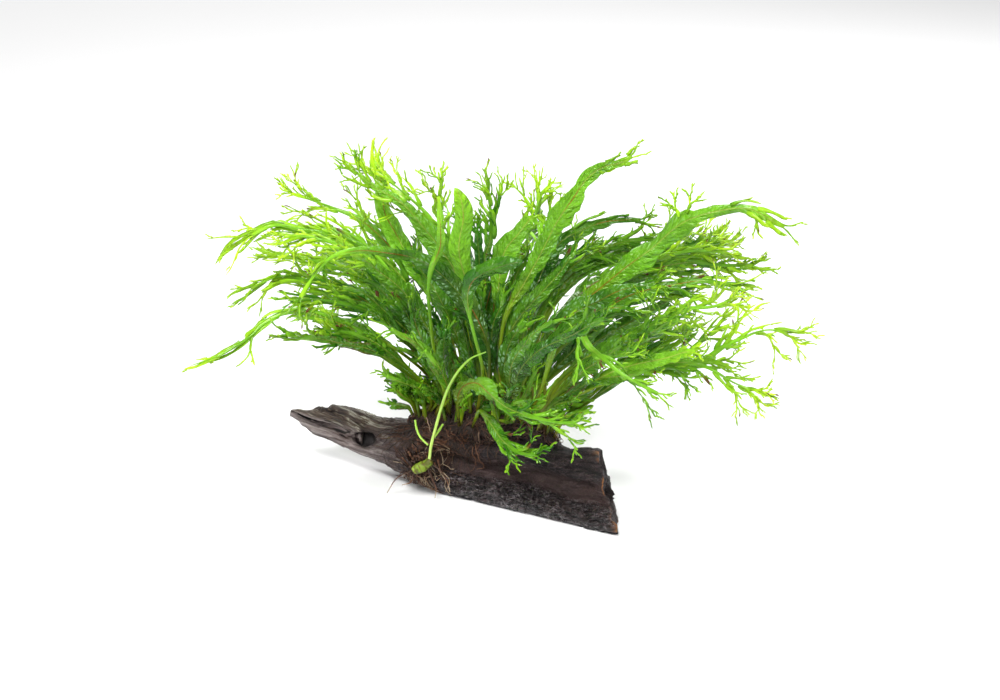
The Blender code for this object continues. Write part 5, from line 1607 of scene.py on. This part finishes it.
class RunnerSettings(bpy.types.PropertyGroup):
    stalk: FloatVectorProperty(
        name="Stalk", description="Colour of the runner's stalk", subtype="COLOR",
        default=(0.33, 0.59, 0.05), min=0, max=1)
    stump: FloatVectorProperty(
        name="Stump", description="Colour of the runner's stump", subtype="COLOR",
        default=(0.16, 0.24, 0.016), min=0, max=1)
    stalk_radius: FloatProperty(
        name="Stalk radius", description="Radius of the runner's stalk at its foot", default=0.74 * MM,
        min=0.3 * MM, max=1.1 * MM, unit="LENGTH", precision=5)
    stump_radius: FloatProperty(
        name="Stump radius", description="Radius of the stump at its middle", default=2.5 * MM,
        min=1 * MM, max=3.2 * MM, unit="LENGTH", precision=5)


class StageSettings(bpy.types.PropertyGroup):
    floor: FloatVectorProperty(
        name="Floor", description="Colour of the floor", subtype="COLOR", default=(0.93, 0.93, 0.93),
        min=0, max=1)
    key: FloatProperty(
        name="Key light", description="Power of the large light", default=12.5, min=0, unit="POWER")
    fill: FloatProperty(
        name="Fill light", description="Strength of the light from all round", default=0.11, min=0)


MADE = {}


def shared(name, maker, settings):
    """A material made once and shared by the pieces that use it."""
    if name not in MADE:
        MADE[name] = maker(settings)
    return MADE[name]


def build_fronds(chosen):
    """Build the fronds of one style, each in place of its node."""
    mat_tree = tree_of_node("root_mat")
    for number, frond in enumerate(FRONDS):
        if frond.style != chosen:
            continue
        foot, early = frond_foot(frond, mat_tree)
        points = frond_route(foot, frond.route, frond.tip_depth * MM, early)
        node = frond.style + "_" + frond.name
        style = STYLES[frond.style]._replace(**frond.own)
        piece = build_frond(node + "_frond", style, points, frond.width * style.slim * MM, frond.turn,
                            number, frond.tone)
        settle(piece, style.slot, node)


class JAVAFERN_OT_driftwood(bpy.types.Operator):
    """Build the driftwood"""
    bl_idname = "java_fern.driftwood"
    bl_label = "Driftwood"

    def execute(self, context):
        settings = context.scene.fern_wood
        piece = build_driftwood(shared("wood", wood_material, settings), settings)
        settle(piece, "driftwood", "driftwood")
        return {"FINISHED"}


class JAVAFERN_OT_roots(bpy.types.Operator):
    """Build the root mat and the roots that creep over the wood"""
    bl_idname = "java_fern.roots"
    bl_label = "Roots"

    def execute(self, context):
        settings = context.scene.fern_roots
        material = shared("roots", root_material, settings)
        settle(build_root_mat(material, settings), "roots", "root_mat")
        settle(build_fine_roots(material, settings), "roots")
        return {"FINISHED"}


class JAVAFERN_OT_runner(bpy.types.Operator):
    """Build the runner stalk, its stump and the roots below it"""
    bl_idname = "java_fern.runner"
    bl_label = "Runner"

    def execute(self, context):
        settings = context.scene.fern_runner
        stalk, stump, roots = build_runner(stalk_material(settings), stump_material(settings),
                                           shared("roots", root_material, context.scene.fern_roots), settings)
        settle(stalk, "runner", "runner_stalk")
        settle(stump, "runner", "runner_stump")
        settle(roots, "roots")
        return {"FINISHED"}


class JAVAFERN_OT_strap_fronds(bpy.types.Operator):
    """Build the broad strap-like fronds"""
    bl_idname = "java_fern.strap_fronds"
    bl_label = "Strap fronds"

    def execute(self, context):
        build_fronds("strap")
        return {"FINISHED"}


class JAVAFERN_OT_plume_fronds(bpy.types.Operator):
    """Build the plume-like fronds"""
    bl_idname = "java_fern.plume_fronds"
    bl_label = "Plume fronds"

    def execute(self, context):
        build_fronds("plume")
        return {"FINISHED"}


class JAVAFERN_OT_lace_fronds(bpy.types.Operator):
    """Build the lace-like fronds"""
    bl_idname = "java_fern.lace_fronds"
    bl_label = "Lace fronds"

    def execute(self, context):
        build_fronds("lace")
        return {"FINISHED"}


class JAVAFERN_OT_young_fronds(bpy.types.Operator):
    """Build the small young fronds"""
    bl_idname = "java_fern.young_fronds"
    bl_label = "Young fronds"

    def execute(self, context):
        build_fronds("young")
        return {"FINISHED"}


class JAVAFERN_OT_companions(bpy.types.Operator):
    """Build the smaller fronds that stand close beside the others"""
    bl_idname = "java_fern.companions"
    bl_label = "Companion fronds"

    def execute(self, context):
        mat_tree = tree_of_node("root_mat")
        by_name = {frond.name: frond for frond in FRONDS}
        for number, extra in enumerate(COMPANIONS):
            frond = by_name[extra.beside]
            foot, early = frond_foot(frond, mat_tree)
            route = frond_route(foot, frond.route, frond.tip_depth * MM, early)
            points, _ = even_path(route, COMPANION_POINTS)
            points = points[:int(round((COMPANION_POINTS - 1) * extra.share)) + 1:3]
            share = np.linspace(0, 1, len(points))[:, None]
            shift = (RIGHT * extra.right + UP * extra.up + FORWARD * extra.back) * MM
            points = points + shift * share ** 1.4
            points = points + np.array([0.6, 0.4, 0]) * MM * math.sin(2.4 * number)
            style = STYLES[extra.style]
            turn = frond.turn + 18 * math.sin(3.3 * number)
            piece = build_frond("companion_%02d_frond" % (number + 1), style, points, extra.width * MM, turn,
                                COMPANION_SEED + number, extra.tone, True)
            settle(piece, style.slot)
        return {"FINISHED"}


class JAVAFERN_OT_base_leaves(bpy.types.Operator):
    """Build the small young leaves that crowd between the stalks at the base"""
    bl_idname = "java_fern.base_leaves"
    bl_label = "Base leaves"

    def execute(self, context):
        mat_tree = tree_of_node("root_mat")
        rng = random.Random(77)
        count = context.scene.fern_leaf.base_leaves
        for number in range(count):
            place = (number + rng.uniform(0.1, 0.9)) / count
            side = rng.uniform(-0.95, 0.75) * float(mat_width(place))
            plan = mat_plan(place, side)
            foot = np.array([plan[0], plan[1], drop_on(mat_tree, plan[0], plan[1])])
            lean = (place - 0.45) * 20 + rng.uniform(-9, 9)
            out = side * 1.4 + rng.uniform(-7, 4) * MM
            high = rng.uniform(8, 30)
            middle = foot + np.array([0.35 * lean * MM, 0.4 * out, 0.62 * high * MM])
            tip = foot + np.array([lean * MM, out, high * rng.uniform(0.75, 1) * MM])
            points = np.array([foot, 0.5 * (foot + middle) + [0, 0, 2 * MM], middle, tip])
            piece = build_frond("base_leaf_%02d" % (number + 1), STYLES["young"], points,
                                rng.uniform(3.2, 5.4) * MM, rng.uniform(-40, 40), BASE_SEED + number,
                                rng.choice((0.15, 0.35, 0.6, 0.9)), True)
            settle(piece, "young_leaf")
        return {"FINISHED"}


class JAVAFERN_OT_stage(bpy.types.Operator):
    """Build the pale floor, the soft lights and the camera"""
    bl_idname = "java_fern.stage"
    bl_label = "Stage"

    def execute(self, context):
        settings = context.scene.fern_stage
        bpy.ops.mesh.primitive_plane_add(size=9, location=(0, 1.5, -0.0002))
        floor = context.object
        floor.name = "floor"
        floor.data.transform(floor.matrix_world)
        floor.matrix_world.identity()
        floor.data.materials.append(floor_material(settings))
        world = bpy.data.worlds.new("Soft light")
        world.use_nodes = True
        background = world.node_tree.nodes["Background"]
        background.inputs["Color"].default_value = (1, 1, 1, 1)
        background.inputs["Strength"].default_value = settings.fill
        context.scene.world = world
        add_light("Key", (-0.3, -0.55, 0.95), (0, 0, 0.08), 0.32, settings.key)
        add_light("Backdrop", (-0.6, 3.4, 2.4), (-0.3, 2.6, 0), 1.6, settings.key * 7)
        add_light("Back", (0.35, 0.75, 0.75), (0, 0, 0.08), 0.6, settings.key * 0.5)
        add_light("Front glint", (0.12, -1, 0.74), (0, 0, 0.08), 0.12, settings.key * 0.34)
        add_light("Left glint", (-0.6, -0.7, 0.62), (0, 0, 0.08), 0.1, settings.key * 0.24)
        add_light("Right glint", (0.55, -0.55, 0.8), (0, 0, 0.08), 0.1, settings.key * 0.24)
        camera = bpy.data.objects.new("Camera", bpy.data.cameras.new("Camera"))
        context.scene.collection.objects.link(camera)
        camera.location = EYE
        camera.rotation_euler = (math.pi / 2 - VIEW_DROP, 0, 0)
        camera.data.sensor_width = SENSOR
        camera.data.lens = SENSOR * VIEW_DISTANCE / (PICTURE_WIDTH * UNIT)
        camera.data.clip_start = 0.05
        context.scene.camera = camera
        context.scene.view_settings.view_transform = "Standard"
        return {"FINISHED"}


def add_light(name, place, target, size, power):
    """A square soft light at a place, facing a target."""
    data = bpy.data.lights.new(name, "AREA")
    data.size = size
    data.energy = power
    light = bpy.data.objects.new(name, data)
    light.location = place
    light.rotation_euler = (Vector(target) - Vector(place)).to_track_quat("-Z", "Y").to_euler()
    bpy.context.scene.collection.objects.link(light)


STEPS = (JAVAFERN_OT_driftwood, JAVAFERN_OT_roots, JAVAFERN_OT_runner, JAVAFERN_OT_strap_fronds,
         JAVAFERN_OT_plume_fronds, JAVAFERN_OT_lace_fronds, JAVAFERN_OT_young_fronds,
         JAVAFERN_OT_companions, JAVAFERN_OT_base_leaves, JAVAFERN_OT_stage)
GROUPS = {"fern_leaf": LeafSettings, "fern_wood": WoodSettings, "fern_roots": RootSettings,
          "fern_runner": RunnerSettings, "fern_stage": StageSettings}


class JAVAFERN_PT_panel(bpy.types.Panel):
    """Sizes, colours and build steps of the java fern"""
    bl_idname = "JAVAFERN_PT_panel"
    bl_label = "Java fern on driftwood"
    bl_space_type = "VIEW_3D"
    bl_region_type = "UI"
    bl_category = "Java fern"

    def draw(self, context):
        for group in GROUPS:
            box = self.layout.box()
            settings = getattr(context.scene, group)
            for name in settings.bl_rna.properties.keys():
                if name not in ("rna_type", "name"):
                    box.prop(settings, name)
        for step in STEPS:
            self.layout.operator(step.bl_idname)


def register():
    """Add the settings, the steps and the panel to Blender."""
    for group, made in GROUPS.items():
        bpy.utils.register_class(made)
        setattr(bpy.types.Scene, group, PointerProperty(type=made))
    for made in (*STEPS, JAVAFERN_PT_panel):
        bpy.utils.register_class(made)


def unregister():
    """Take them out again, in the other order."""
    for made in (JAVAFERN_PT_panel, *reversed(STEPS)):
        bpy.utils.unregister_class(made)
    for group, made in reversed(GROUPS.items()):
        delattr(bpy.types.Scene, group)
        bpy.utils.unregister_class(made)


def main():
    """Register the tools and build every piece in order."""
    register()
    for step in STEPS:
        family, name = step.bl_idname.split(".")
        getattr(getattr(bpy.ops, family), name)()


if __name__ == "__main__":
    main()
